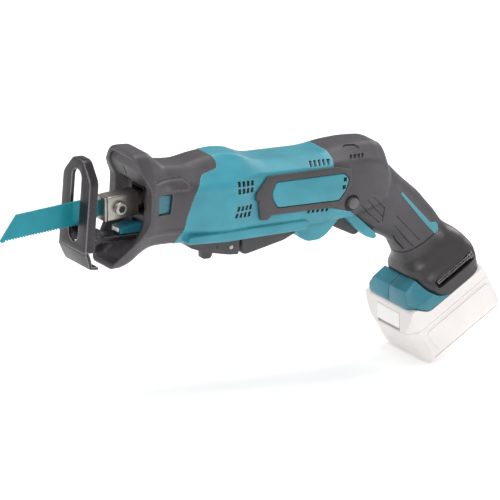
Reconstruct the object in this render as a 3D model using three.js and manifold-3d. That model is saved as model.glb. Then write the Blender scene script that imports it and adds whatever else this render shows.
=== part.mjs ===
// Compact cordless reciprocating saw with a slide-on battery, built as an assembly.
// Millimetres. +X runs from the blade to the rear, +Z is up, the tool's left side is -Y.
// Heights are written from the middle of the shoe; RISE then puts the origin on the shoe's face.
import * as THREE from "three";
import { mergeVertices } from "three/addons/utils/BufferGeometryUtils.js";
import Module from "manifold-3d";

// ---- driving dimensions ------------------------------------------------------------------
const RISE = 23; // shoe's pad below its slot, under the middle of the shoe
const SPLIT = 0.1; // half the seam between the two clamshell halves
const SKIN = 2.0; // thickness of the rubber overmoulds
const SKIN_GAP = 0.25; // clearance below a skin, so that two solids never share a curved face
const WALL = 5.0; // outer surface to the housing's cavity
const TIDY = 0.02; // corners closer than this are merged after a long boolean

const NOSE_TILT = THREE.MathUtils.degToRad(5.5); // blade line against the housing's line
const BLADE_Z = 1.2; // blade line's height at the shoe
const STROKE = 13;
const FOOT_TILT = THREE.MathUtils.degToRad(34); // battery's base against the housing's line
const BASE_X = 335.9; // middle of the battery's base
const BASE_Z = -122.2;
const BATTERY_HALF = 33;

const GEAR_X = 120;
const GEAR_TEETH = 40;
const PINION_TEETH = 8;
const MESH_R = 20.75; // crown teeth's middle radius
const MODULE = (2 * MESH_R) / GEAR_TEETH;
const PINION_R = (MODULE * PINION_TEETH) / 2;
const MOTOR_Z = 4.5;
const GEAR_Z = MOTOR_Z - PINION_R; // crown gear's pitch plane

const PANEL_Y = 28.6; // side panel's inner face

// ---- materials ---------------------------------------------------------------------------
const LOOKS = {
  teal: { color: 0x4b9baa, roughness: 0.45, metalness: 0 },
  rubber: { color: 0x555052, roughness: 0.75, metalness: 0 },
  black: { color: 0x2d2b2b, roughness: 0.35, metalness: 0 },
  darkSteel: { color: 0x3c3a3d, roughness: 0.4, metalness: 0.6 },
  steel: { color: 0x9a9793, roughness: 0.35, metalness: 1 },
  bladePaint: { color: 0x1ba3ad, roughness: 0.4, metalness: 0.2 },
  aluminium: { color: 0xa8aaac, roughness: 0.5, metalness: 1 },
  brass: { color: 0xb08d4a, roughness: 0.4, metalness: 1 },
  copper: { color: 0xb0683c, roughness: 0.4, metalness: 1 },
  lens: { color: 0xe8ecee, roughness: 0.15, metalness: 0 },
  pale: { color: 0xe1dad7, roughness: 0.5, metalness: 0 },
  white: { color: 0xf4f2ef, roughness: 0.4, metalness: 0 },
};

const wasm = await Module();
wasm.setup();
const saw = new THREE.Group();
saw.name = "reciprocating_saw";

// ---- geometry helpers --------------------------------------------------------------------

// A closed three.js geometry as a solid for the booleans.
function solid(geometry) {
  const bare = geometry.index ? geometry.toNonIndexed() : geometry.clone();
  bare.deleteAttribute("normal");
  bare.deleteAttribute("uv");
  const merged = mergeVertices(bare, 1e-4);
  const mesh = new wasm.Mesh({
    numProp: 3,
    vertProperties: merged.attributes.position.array,
    triVerts: new Uint32Array(merged.index.array),
  });
  return new wasm.Manifold(mesh);
}

// The biggest of a solid's pieces, without the slivers that a long boolean leaves beside it.
function main(body) {
  const pieces = body.simplify(TIDY).decompose();
  return pieces.reduce((a, b) => (b.volume() > a.volume() ? b : a));
}

// Adds a solid to the group as a named mesh with its own material.
function add(name, body, look) {
  const { vertProperties, triVerts } = body.simplify(TIDY).getMesh();
  const geometry = new THREE.BufferGeometry();
  geometry.setAttribute("position", new THREE.Float32BufferAttribute(vertProperties, 3));
  geometry.setIndex(new THREE.Uint32BufferAttribute(triVerts, 1));
  geometry.translate(0, 0, RISE);
  const facets = geometry.toNonIndexed();
  facets.computeVertexNormals();
  const mesh = new THREE.Mesh(facets, new THREE.MeshStandardMaterial(LOOKS[look]));
  mesh.name = name;
  saw.add(mesh);
}

function box(x0, x1, y0, y1, z0, z1) {
  const geometry = new THREE.BoxGeometry(x1 - x0, y1 - y0, z1 - z0);
  return solid(geometry.translate((x0 + x1) / 2, (y0 + y1) / 2, (z0 + z1) / 2));
}

// A cylinder of radius r along an axis from lo to hi; u and v place it across that axis:
// (y, z) for X, (x, z) for Y and (x, y) for Z.
function rod(axis, r, lo, hi, u = 0, v = 0, sides = 24, r2 = r) {
  const geometry = new THREE.CylinderGeometry(r2, r, hi - lo, sides);
  geometry.translate(0, (lo + hi) / 2, 0);
  if (axis === "x") return solid(geometry.rotateZ(-Math.PI / 2).translate(0, u, v));
  if (axis === "z") return solid(geometry.rotateX(Math.PI / 2).translate(u, v, 0));
  return solid(geometry.translate(u, 0, v));
}

function outline(points) {
  return new THREE.Shape(points.map(([u, v]) => new THREE.Vector2(u, v)));
}

// A side view [x, z] outline pushed through Y from lo to hi.
function sidePrism(points, lo, hi) {
  const shape = Array.isArray(points) ? outline(points) : points;
  const geometry = new THREE.ExtrudeGeometry(shape, {
    depth: hi - lo,
    bevelEnabled: false,
    curveSegments: 8,
  });
  return solid(geometry.rotateX(Math.PI / 2).translate(0, hi, 0));
}

// A plan view [x, y] outline pushed through Z from lo to hi.
function planPrism(points, lo, hi) {
  const shape = Array.isArray(points) ? outline(points) : points;
  const geometry = new THREE.ExtrudeGeometry(shape, {
    depth: hi - lo,
    bevelEnabled: false,
    curveSegments: 8,
  });
  return solid(geometry.translate(0, 0, lo));
}

// A front view [y, z] outline pushed through X from lo to hi.
function frontPrism(points, lo, hi) {
  const shape = Array.isArray(points) ? outline(points) : points;
  const geometry = new THREE.ExtrudeGeometry(shape, {
    depth: hi - lo,
    bevelEnabled: false,
    curveSegments: 8,
  });
  const turn = new THREE.Matrix4().set(0, 0, 1, lo, 1, 0, 0, 0, 0, 1, 0, 0, 0, 0, 0, 1);
  return solid(geometry.applyMatrix4(turn));
}

// Rings of equal length, each a closed loop of points, skinned into one closed body.
function loft(rings) {
  const count = rings[0].length;
  const points = rings.flat();
  const index = [];
  for (let i = 0; i + 1 < rings.length; i++) {
    for (let j = 0; j < count; j++) {
      const a = i * count + j;
      const b = i * count + ((j + 1) % count);
      index.push(a, b, a + count, b, b + count, a + count);
    }
  }
  for (const [ring, flip] of [[0, true], [rings.length - 1, false]]) {
    const centre = new THREE.Vector3();
    rings[ring].forEach((p) => centre.add(p));
    points.push(centre.divideScalar(count));
    for (let j = 0; j < count; j++) {
      const a = ring * count + j;
      const b = ring * count + ((j + 1) % count);
      const fan = [points.length - 1, a, b];
      index.push(...(flip ? fan.reverse() : fan));
    }
  }
  const geometry = new THREE.BufferGeometry().setFromPoints(points);
  geometry.setIndex(index);
  const made = solid(geometry);
  if (made.volume() > 0) return made;
  for (let i = 0; i < index.length; i += 3) [index[i], index[i + 1]] = [index[i + 1], index[i]];
  geometry.setIndex(index);
  return solid(geometry);
}

// Moves a solid made in another frame, given by a matrix, into the saw's frame.
function placed(body, matrix) {
  return body.transform(matrix.elements);
}

const NOSE = new THREE.Matrix4()
  .makeTranslation(0, 0, BLADE_Z)
  .multiply(new THREE.Matrix4().makeRotationY(-NOSE_TILT));
const FOOT = new THREE.Matrix4()
  .makeTranslation(BASE_X, 0, BASE_Z)
  .multiply(new THREE.Matrix4().makeRotationY(-FOOT_TILT));
const inNose = (body) => placed(body, NOSE);
const inFoot = (body) => placed(body, FOOT);

// ---- the outer form ----------------------------------------------------------------------

// One cross-section of the barrel: a rounded eight-sided outline that is the same left and
// right. top and bottom are its heights, the flats are the half widths of its top and bottom
// faces, and high and low are where its upright sides end.
function barrelRing({ x, top, flatTop, half, high, low, flatBottom, bottom }, grow, steps) {
  const corners = [
    [flatTop, top + grow],
    [half + grow, high + grow * 0.5],
    [half + grow, low - grow * 0.5],
    [flatBottom, bottom - grow],
  ];
  const before = [0, top + grow];
  const after = [0, bottom - grow];
  const path = [before, ...corners, after];
  const ring = [];
  for (let i = 1; i <= 4; i++) {
    for (let step = 0; step <= steps; step++) {
      const t = step / steps;
      const bend = [0, 1].map((k) => {
        const from = path[i][k] + (path[i - 1][k] - path[i][k]) * 0.42;
        const to = path[i][k] + (path[i + 1][k] - path[i][k]) * 0.42;
        return (1 - t) ** 2 * from + 2 * t * (1 - t) * path[i][k] + t ** 2 * to;
      });
      ring.push(bend);
    }
  }
  const left = ring.map(([y, z]) => new THREE.Vector3(x, -y, z));
  const right = ring.map(([y, z]) => new THREE.Vector3(x, y, z)).reverse();
  return [...left, ...right];
}

const BARREL = [
  [26.5, 41.5, 14, 26, 25, -14, 14, -42.5],
  [34, 45.5, 15.5, 29, 28, -13, 15, -41.8],
  [43, 47, 16.5, 30.5, 28, -10, 16, -38],
  [51, 47, 15.5, 30.5, 27, -8, 16, -31.8],
  [58, 42.8, 13.5, 28, 24, -10, 16, -28],
  [63.5, 38, 12.4, 26.6, 21.5, -11.5, 16, -26.9],
  [70, 34.8, 12, 26.2, 20, -12, 16.4, -26.6],
  [85, 33.6, 11, 27.5, 20, -13, 18, -26.2],
  [105, 37.1, 10, 29.2, 19, -14, 21, -25.6],
  [122, 38.7, 9.5, 30, 19, -14, 23, -24.8],
  [134, 37.2, 10, 29.3, 21, -14, 23, -24.2],
  [141.5, 34.4, 10.5, 28.5, 23.5, -14, 23, -23.8],
  [149, 31.8, 11, 28.5, 24.5, -14, 23, -23.5],
  [160, 30.3, 11, 28.5, 24.5, -14, 23, -23.3],
  [208, 30.2, 11, 28.5, 24.5, -14, 22, -22.5],
  [214, 32.2, 12, 28.5, 24.5, -13, 21, -22],
  [224, 34, 12, 28.3, 24, -12.5, 20, -21.5],
  [240, 35.2, 11.5, 27.8, 23, -12, 19, -21],
  [253, 34.8, 11, 26.5, 20.5, -11, 17, -20],
  [262, 32, 10, 24.5, 16, -10, 14, -18],
  [267.5, 26.5, 8.5, 21.5, 10, -9, 11, -14],
  [270.5, 19.5, 7, 18.5, 5, -7, 9, -10],
].map(([x, top, flatTop, half, high, low, flatBottom, bottom]) => ({
  x, top, flatTop, half, high, low, flatBottom, bottom,
}));

function barrel(grow, from = -Infinity, to = Infinity, steps = 2) {
  const rings = BARREL.filter(({ x }) => x >= from && x <= to);
  const ends = [rings[0], rings.at(-1)];
  return loft(
    rings.map((ring) => {
      const slip = ring === ends[1] ? grow : 0;
      return barrelRing({ ...ring, x: ring.x + slip }, grow, steps);
    }),
  );
}

// One cross-section of the handle, parallel to the battery's base: an oval from front to back,
// squarer where power is higher.
function handleRing([up, front, back, half, power], grow) {
  const ring = [];
  const middle = (front + back) / 2;
  for (let i = 0; i < 28; i++) {
    const turn = (2 * Math.PI * i) / 28;
    const c = Math.cos(turn);
    const s = Math.sin(turn);
    const along = (back - front) / 2 + grow;
    const a = middle + along * Math.sign(c) * Math.abs(c) ** (2 / power);
    const y = (half + grow) * Math.sign(s) * Math.abs(s) ** (2 / power);
    ring.push(new THREE.Vector3(a, y, up));
  }
  return ring;
}

const HANDLE = [
  [78, -3.5, 40, 18, 2.3],
  [88, -3.0, 39.2, 17.5, 2.3],
  [98, -7.2, 37.4, 17.5, 2.3],
  [108, -13.8, 35.8, 18, 2.3],
  [118, -20.5, 32.8, 19, 2.4],
  [128, -24, 29.6, 21, 2.4],
  [138, -25, 26.8, 23, 2.5],
  [147, -24.5, 24.6, 23.5, 2.5],
  [153, -22, 22.3, 22, 2.5],
];
const FOOT_RINGS = [
  [36.8, -8, 43, 33, 4.2],
  [46, -9, 46.6, 33, 4.0],
  [52, -9.5, 48.2, 31, 3.7],
  [58, -9.5, 47.4, 26.5, 3.4],
  [63, -9, 45.8, 23, 3.6],
  [66.5, -7.5, 44.2, 20.5, 3.2],
  [71, -5, 42, 19, 2.5],
  [78, -3.5, 40, 18, 2.3],
];

function handle(grow) {
  const rings = HANDLE.map((ring, i) => {
    const end = i === 0 ? 0 : i === HANDLE.length - 1 ? grow : 0;
    return handleRing([ring[0] + end, ...ring.slice(1)], grow);
  });
  return inFoot(loft(rings));
}

const GUARD = [
  [184, -15],
  [186.5, -26],
  [191, -33.2],
  [198, -36.6],
  [208.5, -36.2],
  [216, -31.5],
  [221, -25.5],
  [226, -20],
  [232, -15],
];

// The finger guard under the barrel, just ahead of the trigger.
function guard(grow) {
  const deep = 19 + grow;
  const block = sidePrism(GUARD, -deep, deep);
  return grow < 0 ? block.translate([0, 0, -grow]) : block;
}

// The housing's edge that follows the front of the handle down behind the trigger.
const STRIP = [
  [229, -13],
  [233, -14.9],
  [259.4, -37.5],
  [261.5, -41],
  [252.4, -38.8],
  [244.6, -32.6],
  [230.8, -19.7],
];
const strip = sidePrism(STRIP, -15.5, 15.5);

const outer = barrel(0).add(handle(0)).add(guard(0)).add(strip);
const core = barrel(-SKIN, 58).add(handle(-SKIN));
const hollow = barrel(-WALL, 63, 269, 1).add(handle(-WALL)).add(guard(-WALL));

// ---- zones of the outer form -------------------------------------------------------------

const footPoint = (a, w) => [
  BASE_X + a * Math.cos(FOOT_TILT) - w * Math.sin(FOOT_TILT),
  BASE_Z + a * Math.sin(FOOT_TILT) + w * Math.cos(FOOT_TILT),
];

const BOOT_ZONE = [
  [20, -60],
  [78, -60],
  [79, -23],
  [83, -3],
  [89, 16],
  [97, 27],
  [112, 30],
  [114, 34],
  [108, 42],
  [104, 60],
  [20, 60],
];
const GRIP_ZONE = [
  [211, 60],
  [214, 28],
  [211, 25],
  [210, -8],
  [222, -11.5],
  [231, -14],
  [246, -27],
  [259, -38],
  [262.5, -46],
  footPoint(-30, 78.2),
  footPoint(60, 78.2),
  [340, 60],
];

// The grip's front edge as the housing sees it, a little wider than the grip itself.
function zone(points, gap) {
  const block = sidePrism(points, -60, 60);
  if (gap === 0) return block;
  return block.add(block.translate([-gap, 0, -gap])).add(block.translate([gap, 0, -gap]));
}
const bootZone = zone(BOOT_ZONE, 0);
const bootRoom = bootZone.add(bootZone.translate([SKIN_GAP, 0, 0]));
const gripZone = zone(GRIP_ZONE, 0);
const gripRoom = zone(GRIP_ZONE, SKIN_GAP);

// ---- openings cut through the side walls --------------------------------------------------

// A row of upright slots seen from the side, leaning by lean per millimetre of height.
function slotRow(x, z, count, pitch, width, height, lean = 0) {
  let row = null;
  for (let i = 0; i < count; i++) {
    const at = x + i * pitch;
    const shift = lean * height;
    const slot = sidePrism(
      [
        [at, z],
        [at + width, z],
        [at + width + shift, z + height],
        [at + shift, z + height],
      ],
      -45,
      -14,
    );
    row = row ? row.add(slot) : slot;
  }
  return row;
}

const ventsLeft = slotRow(125.2, 16.6, 4, 3.9, 2.8, 4.2)
  .add(slotRow(125.2, 11.2, 4, 3.9, 2.8, 4.2))
  .add(slotRow(124.6, -2.0, 4, 3.9, 2.8, 4, 0.15))
  .add(slotRow(123.8, -7.4, 4, 3.9, 2.8, 4, 0.15))
  .add(slotRow(193, 25.2, 5, 4.1, 2.4, 6, -0.2))
  .add(slotRow(189, -10.8, 5, 4.1, 2.4, 3.6, 0.2));
const gripVents = slotRow(226.5, 25, 4, 3.9, 2.4, 5);
const flipSide = (body) => body.mirror([0, 1, 0]);
const openings = ventsLeft.add(flipSide(ventsLeft)).add(gripVents).add(flipSide(gripVents));

const LOCK_X = 230.5;
const LOCK_Z = -7;
const lockHole = rod("y", 4.6, -45, 45, LOCK_X, LOCK_Z, 28);
const lockDish = rod("y", 6.6, -45, -26.4, LOCK_X - 1.2, LOCK_Z, 28).add(
  rod("y", 6.6, 26.4, 45, LOCK_X - 1.2, LOCK_Z, 28),
);

const triggerSlot = sidePrism(
  [
    [223.6, -50],
    [250, -50],
    [264, -32],
    [252, -6],
    [224.6, -6],
  ],
  -8.6,
  8.6,
);
const paddleSlot = box(141.6, 197, -13.6, 13.6, -40, -15.5);
const sliderDoor = inNose(box(40, 72, -9, 9, -11, 11));
const armRoom = box(28, 74.6, -7.3, 7.3, -22.9, -9);
const armTrench = box(56, 74.6, -7.3, 7.3, -30, -20);
const HINGE = { x: 192, z: -26.5, r: 1.5 };
const hingeBore = rod("y", HINGE.r, -16.6, 16.6, HINGE.x, HINGE.z, 20);
const trimmings = openings
  .add(lockHole)
  .add(triggerSlot)
  .add(paddleSlot)
  .add(sliderDoor)
  .add(armRoom)
  .add(armTrench)
  .add(hingeBore);

const SCREWS = [
  [98, -6],
  [152, -17],
  [204, -17],
  [240, 12],
];
const screwBores = SCREWS.map(([x, z]) => rod("y", 2.8, 21.9, 45, x, z, 20)).reduce((a, b) =>
  a.add(b),
);

// ---- housing, grips and boot ---------------------------------------------------------------

const halfLeft = box(-100, 500, -100, -SPLIT, -250, 200);
const halfRight = box(-100, 500, SPLIT, 100, -250, 200);

const shell = outer
  .subtract(gripRoom)
  .subtract(bootRoom)
  .add(core)
  .intersect(inFoot(box(-90, 400, -60, 60, 78.1, 400)).add(box(0, 250, -60, 60, -60, 60)))
  .subtract(hollow)
  .subtract(trimmings);
add("housing_left", main(shell.intersect(halfLeft)), "teal");
add("housing_right", main(shell.intersect(halfRight).subtract(screwBores)), "teal");

const skinCore = barrel(-SKIN + SKIN_GAP, 58).add(handle(-SKIN + SKIN_GAP));
const grip = outer
  .intersect(gripZone)
  .subtract(skinCore)
  .subtract(openings)
  .subtract(lockDish)
  .subtract(lockHole)
  .subtract(triggerSlot);
add("grip_left", main(grip.intersect(halfLeft)), "rubber");
add("grip_right", main(grip.intersect(halfRight).subtract(screwBores)), "rubber");

const RIM = [
  [0, 70],
  [39, 70],
  [39, 42],
  [41.5, 33],
  [48.5, 21],
  [49.5, -4],
  [44.5, -15],
  [30, -35],
  [27.5, -41],
  [27.5, -70],
  [0, -70],
];
const bootCup = barrel(-3.4, 26, 58);
const windowLeft = sidePrism(
  [
    [56.5, 1],
    [55.5, 17.2],
    [70, 16.4],
    [69, 0.6],
  ],
  -50,
  -19,
);
const bootWindow = windowLeft.add(flipSide(windowLeft));
const boot = outer
  .intersect(bootZone)
  .subtract(skinCore)
  .subtract(sidePrism(RIM, -60, 60))
  .subtract(bootCup)
  .subtract(sliderDoor)
  .subtract(bootWindow)
  .subtract(armRoom);
add("front_boot", main(boot), "rubber");

// ---- side panels and their inlays -----------------------------------------------------------

const PANEL = [
  [145, 14],
  [151.5, 23],
  [212, 23.6],
  [226, 21],
  [227, 8],
  [221, -2],
  [214, -8],
  [156.5, -8],
  [153, -11.5],
  [146.5, -11],
  [144, 3],
  [141.5, 5],
  [141.5, 10],
];
const INLAY = [
  [155.5, 10],
  [159, 17.5],
  [219, 18.2],
  [224, 13.5],
  [221.5, 4.5],
  [216, -2.6],
  [161.5, -2.6],
  [157, 3.5],
];

function grown(points, by) {
  const centre = new THREE.Box2().setFromPoints(points.map(([x, z]) => new THREE.Vector2(x, z)));
  const middle = centre.getCenter(new THREE.Vector2());
  const size = centre.getSize(new THREE.Vector2());
  return points.map(([x, z]) => [
    middle.x + (x - middle.x) * (1 + (2 * by) / size.x),
    middle.y + (z - middle.y) * (1 + (2 * by) / size.y),
  ]);
}

const panelLeft = sidePrism(PANEL, -PANEL_Y - 1.5, -PANEL_Y)
  .subtract(sidePrism(grown(INLAY, 0.3), -40, 0));
const inlayVents = box(218.6, 221.8, -40, 40, 11.8, 15.2).add(
  box(218, 221.2, -40, 40, 5.8, 9.2),
);
const inlayLeft = sidePrism(INLAY, -PANEL_Y - 1.9, -PANEL_Y).subtract(inlayVents);
add("panel_left", panelLeft, "rubber");
add("inlay_left", inlayLeft, "teal");
add("panel_right", flipSide(panelLeft), "rubber");
add("inlay_right", flipSide(inlayLeft), "teal");

// ---- nose, lamp and shoe ---------------------------------------------------------------------

// The blade's guide block in the mouth of the boot: it carries the shoe's arm and the lamp.
const noseBlock = sidePrism(
  [
    [38, -17.6],
    [66.5, -17.6],
    [66.5, -9.6],
    [38, -12.2],
  ],
  -6.6,
  6.6,
);
const lampSeat = box(30, 41, -4.3, 4.3, -16.6, -13.2);
add("nose_block", noseBlock.subtract(lampSeat), "teal");
add("lamp_lens", box(37.2, 40.8, -4, 4, -16.4, -13.4), "lens");

const SHOE = { half: 19.2, top: 44.5, thick: 3, flange: 8, fold: -26 };
const shoeFace = [
  [-SHOE.half, SHOE.fold],
  [-SHOE.half, 30],
  [-7, SHOE.top],
  [7, SHOE.top],
  [SHOE.half, 30],
  [SHOE.half, SHOE.fold],
];
const shoeInner = shoeFace.map(([y, z]) => [
  y - Math.sign(y) * 2.2,
  z > 35 ? z - 2.6 : z > 0 ? z - 1.1 : z - 30,
]);
const shoeSlot = new THREE.Shape();
shoeSlot.moveTo(-6.8, -13.5);
shoeSlot.absarc(0, -13.5, 6.8, Math.PI, 2 * Math.PI, false);
shoeSlot.lineTo(6.8, 29.5);
shoeSlot.absarc(0, 29.5, 6.8, 0, Math.PI, false);
const shoePan = frontPrism(shoeFace, 0, SHOE.flange)
  .subtract(frontPrism(shoeInner, SHOE.thick, 20))
  .subtract(frontPrism(shoeSlot, -5, 20));
const shoeToe = sidePrism(
  [
    [0, SHOE.fold + 0.01],
    [6, -38.8],
    [14, -39.8],
    [14, -37.4],
    [8, -36.8],
    [3, SHOE.fold + 0.01],
  ],
  -SHOE.half,
  SHOE.half,
).intersect(
  frontPrism(
    [
      [-SHOE.half, -20],
      [-SHOE.half, -32],
      [-14, -45],
      [14, -45],
      [SHOE.half, -32],
      [SHOE.half, -20],
    ],
    -5,
    30,
  ),
);
const PIVOT = { x: 14, z: -16.5, r: 2 };
const ear = sidePrism(
  [
    [2.5, -23],
    [12, -22.5],
    [17.5, -21],
    [18.5, -13],
    [16, -9.5],
    [2.5, -7.5],
  ],
  -11,
  -8.4,
);
const shoe = shoePan
  .add(shoeToe)
  .add(ear)
  .add(flipSide(ear))
  .subtract(rod("y", PIVOT.r + 0.06, -20, 20, PIVOT.x, PIVOT.z, 24));
add("shoe", shoe, "darkSteel");
const pivotPin = rod("y", PIVOT.r, -12, 12, PIVOT.x, PIVOT.z, 24);
add("shoe_pivot_pin", pivotPin, "steel");
const arm = sidePrism(
  [
    [11, -20],
    [18, -22.5],
    [74, -22.5],
    [74, -18.2],
    [24, -18.2],
    [19, -12.5],
    [11, -12.5],
  ],
  -7,
  7,
).subtract(rod("y", PIVOT.r, -20, 20, PIVOT.x, PIVOT.z, 24));
add("shoe_arm", arm, "darkSteel");

// ---- blade, clamp and slider, drawn along the blade's own line --------------------------------

const BLADE = { tip: -66, back: 44, high: 9.6, low: -8.6, thick: 1.0, pitch: 2.54 };
const bladeEdge = [
  [BLADE.back, -6],
  [BLADE.back, 6],
  [21, 6],
  [19, BLADE.high],
  [BLADE.tip + 15, BLADE.high],
  [BLADE.tip, BLADE.low - 0.6],
  [BLADE.tip + 3, BLADE.low - 1.8],
];
const teeth = [];
for (let x = BLADE.tip + 5; x < 10; x += BLADE.pitch) {
  teeth.push([x, BLADE.low - 1.4], [x + 0.5, BLADE.low]);
}
const blade = sidePrism(
  [...bladeEdge, ...teeth, [15, BLADE.low], [21, -6]],
  -BLADE.thick / 2,
  BLADE.thick / 2,
);
add("blade", inNose(blade), "bladePaint");

const CLAMP = { front: 22, back: 52, half: 9.4, left: -8, right: 5 };
const bladeRoom = box(10, BLADE.back + 0.4, -0.62, 0.62, -6.4, 6.4);
const boltBore = rod("y", 3.06, -30, CLAMP.right - 1.5, 34.5, 0, 28);
const clampBlock = box(CLAMP.front + 2.6, CLAMP.back, CLAMP.left, CLAMP.right, -9.4, 9.6)
  .subtract(bladeRoom)
  .subtract(boltBore);
const clampPlate = box(CLAMP.front, CLAMP.front + 2.4, CLAMP.left, CLAMP.right, -9.4, 9.6)
  .subtract(bladeRoom);
add("blade_clamp", inNose(clampBlock), "steel");
add("clamp_front_plate", inNose(clampPlate), "steel");
const boltSocket = rod("y", 2.3, -20, -9.2, 34.5, 0, 6);
const bolt = rod("y", 3, -9, -0.7, 34.5, 0, 28)
  .add(rod("y", 5, -12.6, -8.1, 34.5, 0, 28))
  .subtract(boltSocket);
add("clamp_bolt", inNose(bolt), "steel");

// At rest the crank pin is at its front dead centre, so the blade is fully out. The pin stops
// just under the yoke that it drives, which leaves the two free of each other.
const PIN = { r: 3.6, x: GEAR_X - STROKE / 2 };
const YOKE = PIN.x / Math.cos(NOSE_TILT);
// A flat under the shaft's rear end clears the pin over the whole stroke.
const slider = rod("x", 6.5, CLAMP.back + 0.05, YOKE - 9.5, 0, 0, 32)
  .subtract(box(86, YOKE, -10, 10, -10, -3.4));
add("slider_shaft", inNose(slider), "steel");
const yokeSlot = box(YOKE - PIN.r - 1.4, YOKE + PIN.r + 1.4, -11, 11, -10, 10);
const yoke = box(YOKE - 9.45, YOKE + 9, -13, 13, -3, 3.2).subtract(yokeSlot);
add("slider_yoke", inNose(yoke), "steel");
const bush = rod("x", 9.5, 69, 83, 0, 0, 32).subtract(rod("x", 6.56, 60, 90, 0, 0, 32));
add("slider_bush", inNose(bush), "brass");

// ---- crank gear and its case ------------------------------------------------------------------

const TOOTH = { rise: 0.75, drop: 1.0 };
let crown = rod("z", 22.6, GEAR_Z - 6, GEAR_Z - TOOTH.drop, GEAR_X, 0, 64)
  .add(rod("z", 10, GEAR_Z - 8.5, GEAR_Z - 5.9, GEAR_X, 0, 32));
for (let i = 0; i < GEAR_TEETH; i++) {
  const tooth = frontPrism(
    [
      [-0.62, GEAR_Z - TOOTH.drop - 0.1],
      [0.62, GEAR_Z - TOOTH.drop - 0.1],
      [0.28, GEAR_Z + TOOTH.rise],
      [-0.28, GEAR_Z + TOOTH.rise],
    ],
    18.6,
    22.6,
  );
  crown = crown.add(tooth.rotate([0, 0, (360 * (i + 0.5)) / GEAR_TEETH]).translate([GEAR_X, 0, 0]));
}
crown = crown.subtract(rod("z", 5.05, GEAR_Z - 20, GEAR_Z - 2.6, GEAR_X, 0, 28));
add("crank_gear", crown, "steel");
const crankPin = rod("z", PIN.r, GEAR_Z - TOOTH.drop + 0.02, 7.6, PIN.x, 0, 24);
add("crank_pin", crankPin, "steel");
add("gear_spindle", rod("z", 5, GEAR_Z - 14.5, GEAR_Z - 2.9, GEAR_X, 0, 28), "steel");

const caseRoom = rod("z", 22.9, GEAR_Z - 7.4, 40, GEAR_X, 0, 36).add(
  rod("z", 11, GEAR_Z - 9.6, 0, GEAR_X, 0, 24),
);
const caseCup = rod("z", 21.6, GEAR_Z - 12.6, -6, GEAR_X, 0, 36, 24.2)
  .add(rod("z", 24.2, -6.01, -1, GEAR_X, 0, 36))
  .subtract(caseRoom)
  .subtract(rod("z", 5.04, -30, 0, GEAR_X, 0, 28));
const caseNeck = box(69, 100, -13, 13, GEAR_Z - 12.6, -1).subtract(box(70, 140, -10, 10, -8, 2));
const gearCase = caseCup
  .add(caseNeck.subtract(rod("z", 22.9, -30, 30, GEAR_X, 0, 36)))
  .subtract(inNose(rod("x", 9.55, 60, 90, 0, 0, 32)))
  .subtract(rod("x", 8, 130, 160, 0, MOTOR_Z, 28));
add("gear_case", gearCase, "aluminium");
const coverSkin = barrel(-WALL - 0.4, 85, 149, 1).subtract(barrel(-WALL - 1.9, 63, 214, 1));
const coverZone = box(85.5, 147, -30, 30, -0.95, 40);
const coverNeck = box(69, 86, -13, 13, -0.95, 19.5);
const cover = coverSkin
  .intersect(coverZone)
  .add(coverNeck)
  .subtract(inNose(rod("x", 9.55, 60, 84, 0, 0, 32).add(rod("x", 7.2, 80, 110, 0, 0, 32))))
  .subtract(rod("x", 8, 130, 160, 0, MOTOR_Z, 28));
add("gear_cover", main(cover), "aluminium");

// ---- motor -------------------------------------------------------------------------------------

const motorRod = (r, lo, hi, sides = 32) => rod("x", r, lo, hi, 0, MOTOR_Z, sides);
const CAN = { front: 161, back: 207, r: 17.6 };
const can = motorRod(CAN.r, CAN.front, CAN.back, 40)
  .subtract(motorRod(13.6, CAN.front + 2, CAN.back + 1, 40))
  .subtract(motorRod(6, 150, 170, 28));
add("motor_can", can, "darkSteel");
const frontBearing = motorRod(5.95, CAN.front - 2, CAN.front + 2, 28)
  .add(motorRod(7.5, CAN.front - 3.4, CAN.front - 0.1, 28))
  .subtract(motorRod(2.06, 150, 170, 24));
add("front_bearing", frontBearing, "brass");
add("rotor_shaft", motorRod(2, 135.5, 222, 24), "steel");

const sleeve = (r, lo, hi, sides = 32) => motorRod(r, lo, hi, sides);
const shaftBore = motorRod(2, 100, 260, 24);
let laminations = sleeve(12.9, CAN.front + 7, CAN.back - 9, 40);
for (let i = 0; i < 5; i++) {
  const slot = box(150, 220, -1, 1, 7, 20).rotate([72 * i, 0, 0]).translate([0, 0, MOTOR_Z]);
  laminations = laminations.subtract(slot);
}
add("rotor_core", laminations.subtract(shaftBore), "darkSteel");
add("commutator", sleeve(5.2, CAN.back - 6, CAN.back + 5, 24).subtract(shaftBore), "copper");
let fan = sleeve(17, 152.4, 153.8, 40).add(sleeve(5, 149.5, 153.8, 24));
for (let i = 0; i < 9; i++) {
  const vane = box(148.4, 152.5, -0.6, 0.6, 4.6, 16.6).rotate([40 * i, 0, 0]);
  fan = fan.add(vane.translate([0, 0, MOTOR_Z]));
}
add("cooling_fan", fan.subtract(shaftBore), "black");

const pinionEdge = [];
for (let i = 0; i < PINION_TEETH; i++) {
  const step = (2 * Math.PI) / PINION_TEETH;
  const low = PINION_R - 0.95;
  const high = PINION_R + 0.75;
  for (const [turn, r] of [[-0.31, low], [-0.12, high], [0.12, high], [0.31, low]]) {
    const angle = i * step + turn * step;
    pinionEdge.push([r * Math.sin(angle), MOTOR_Z - r * Math.cos(angle)]);
  }
}
const pinion = frontPrism(pinionEdge, 138, 143.4).add(sleeve(3.1, 143.3, 147, 24));
add("pinion", pinion.subtract(shaftBore), "steel");

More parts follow.
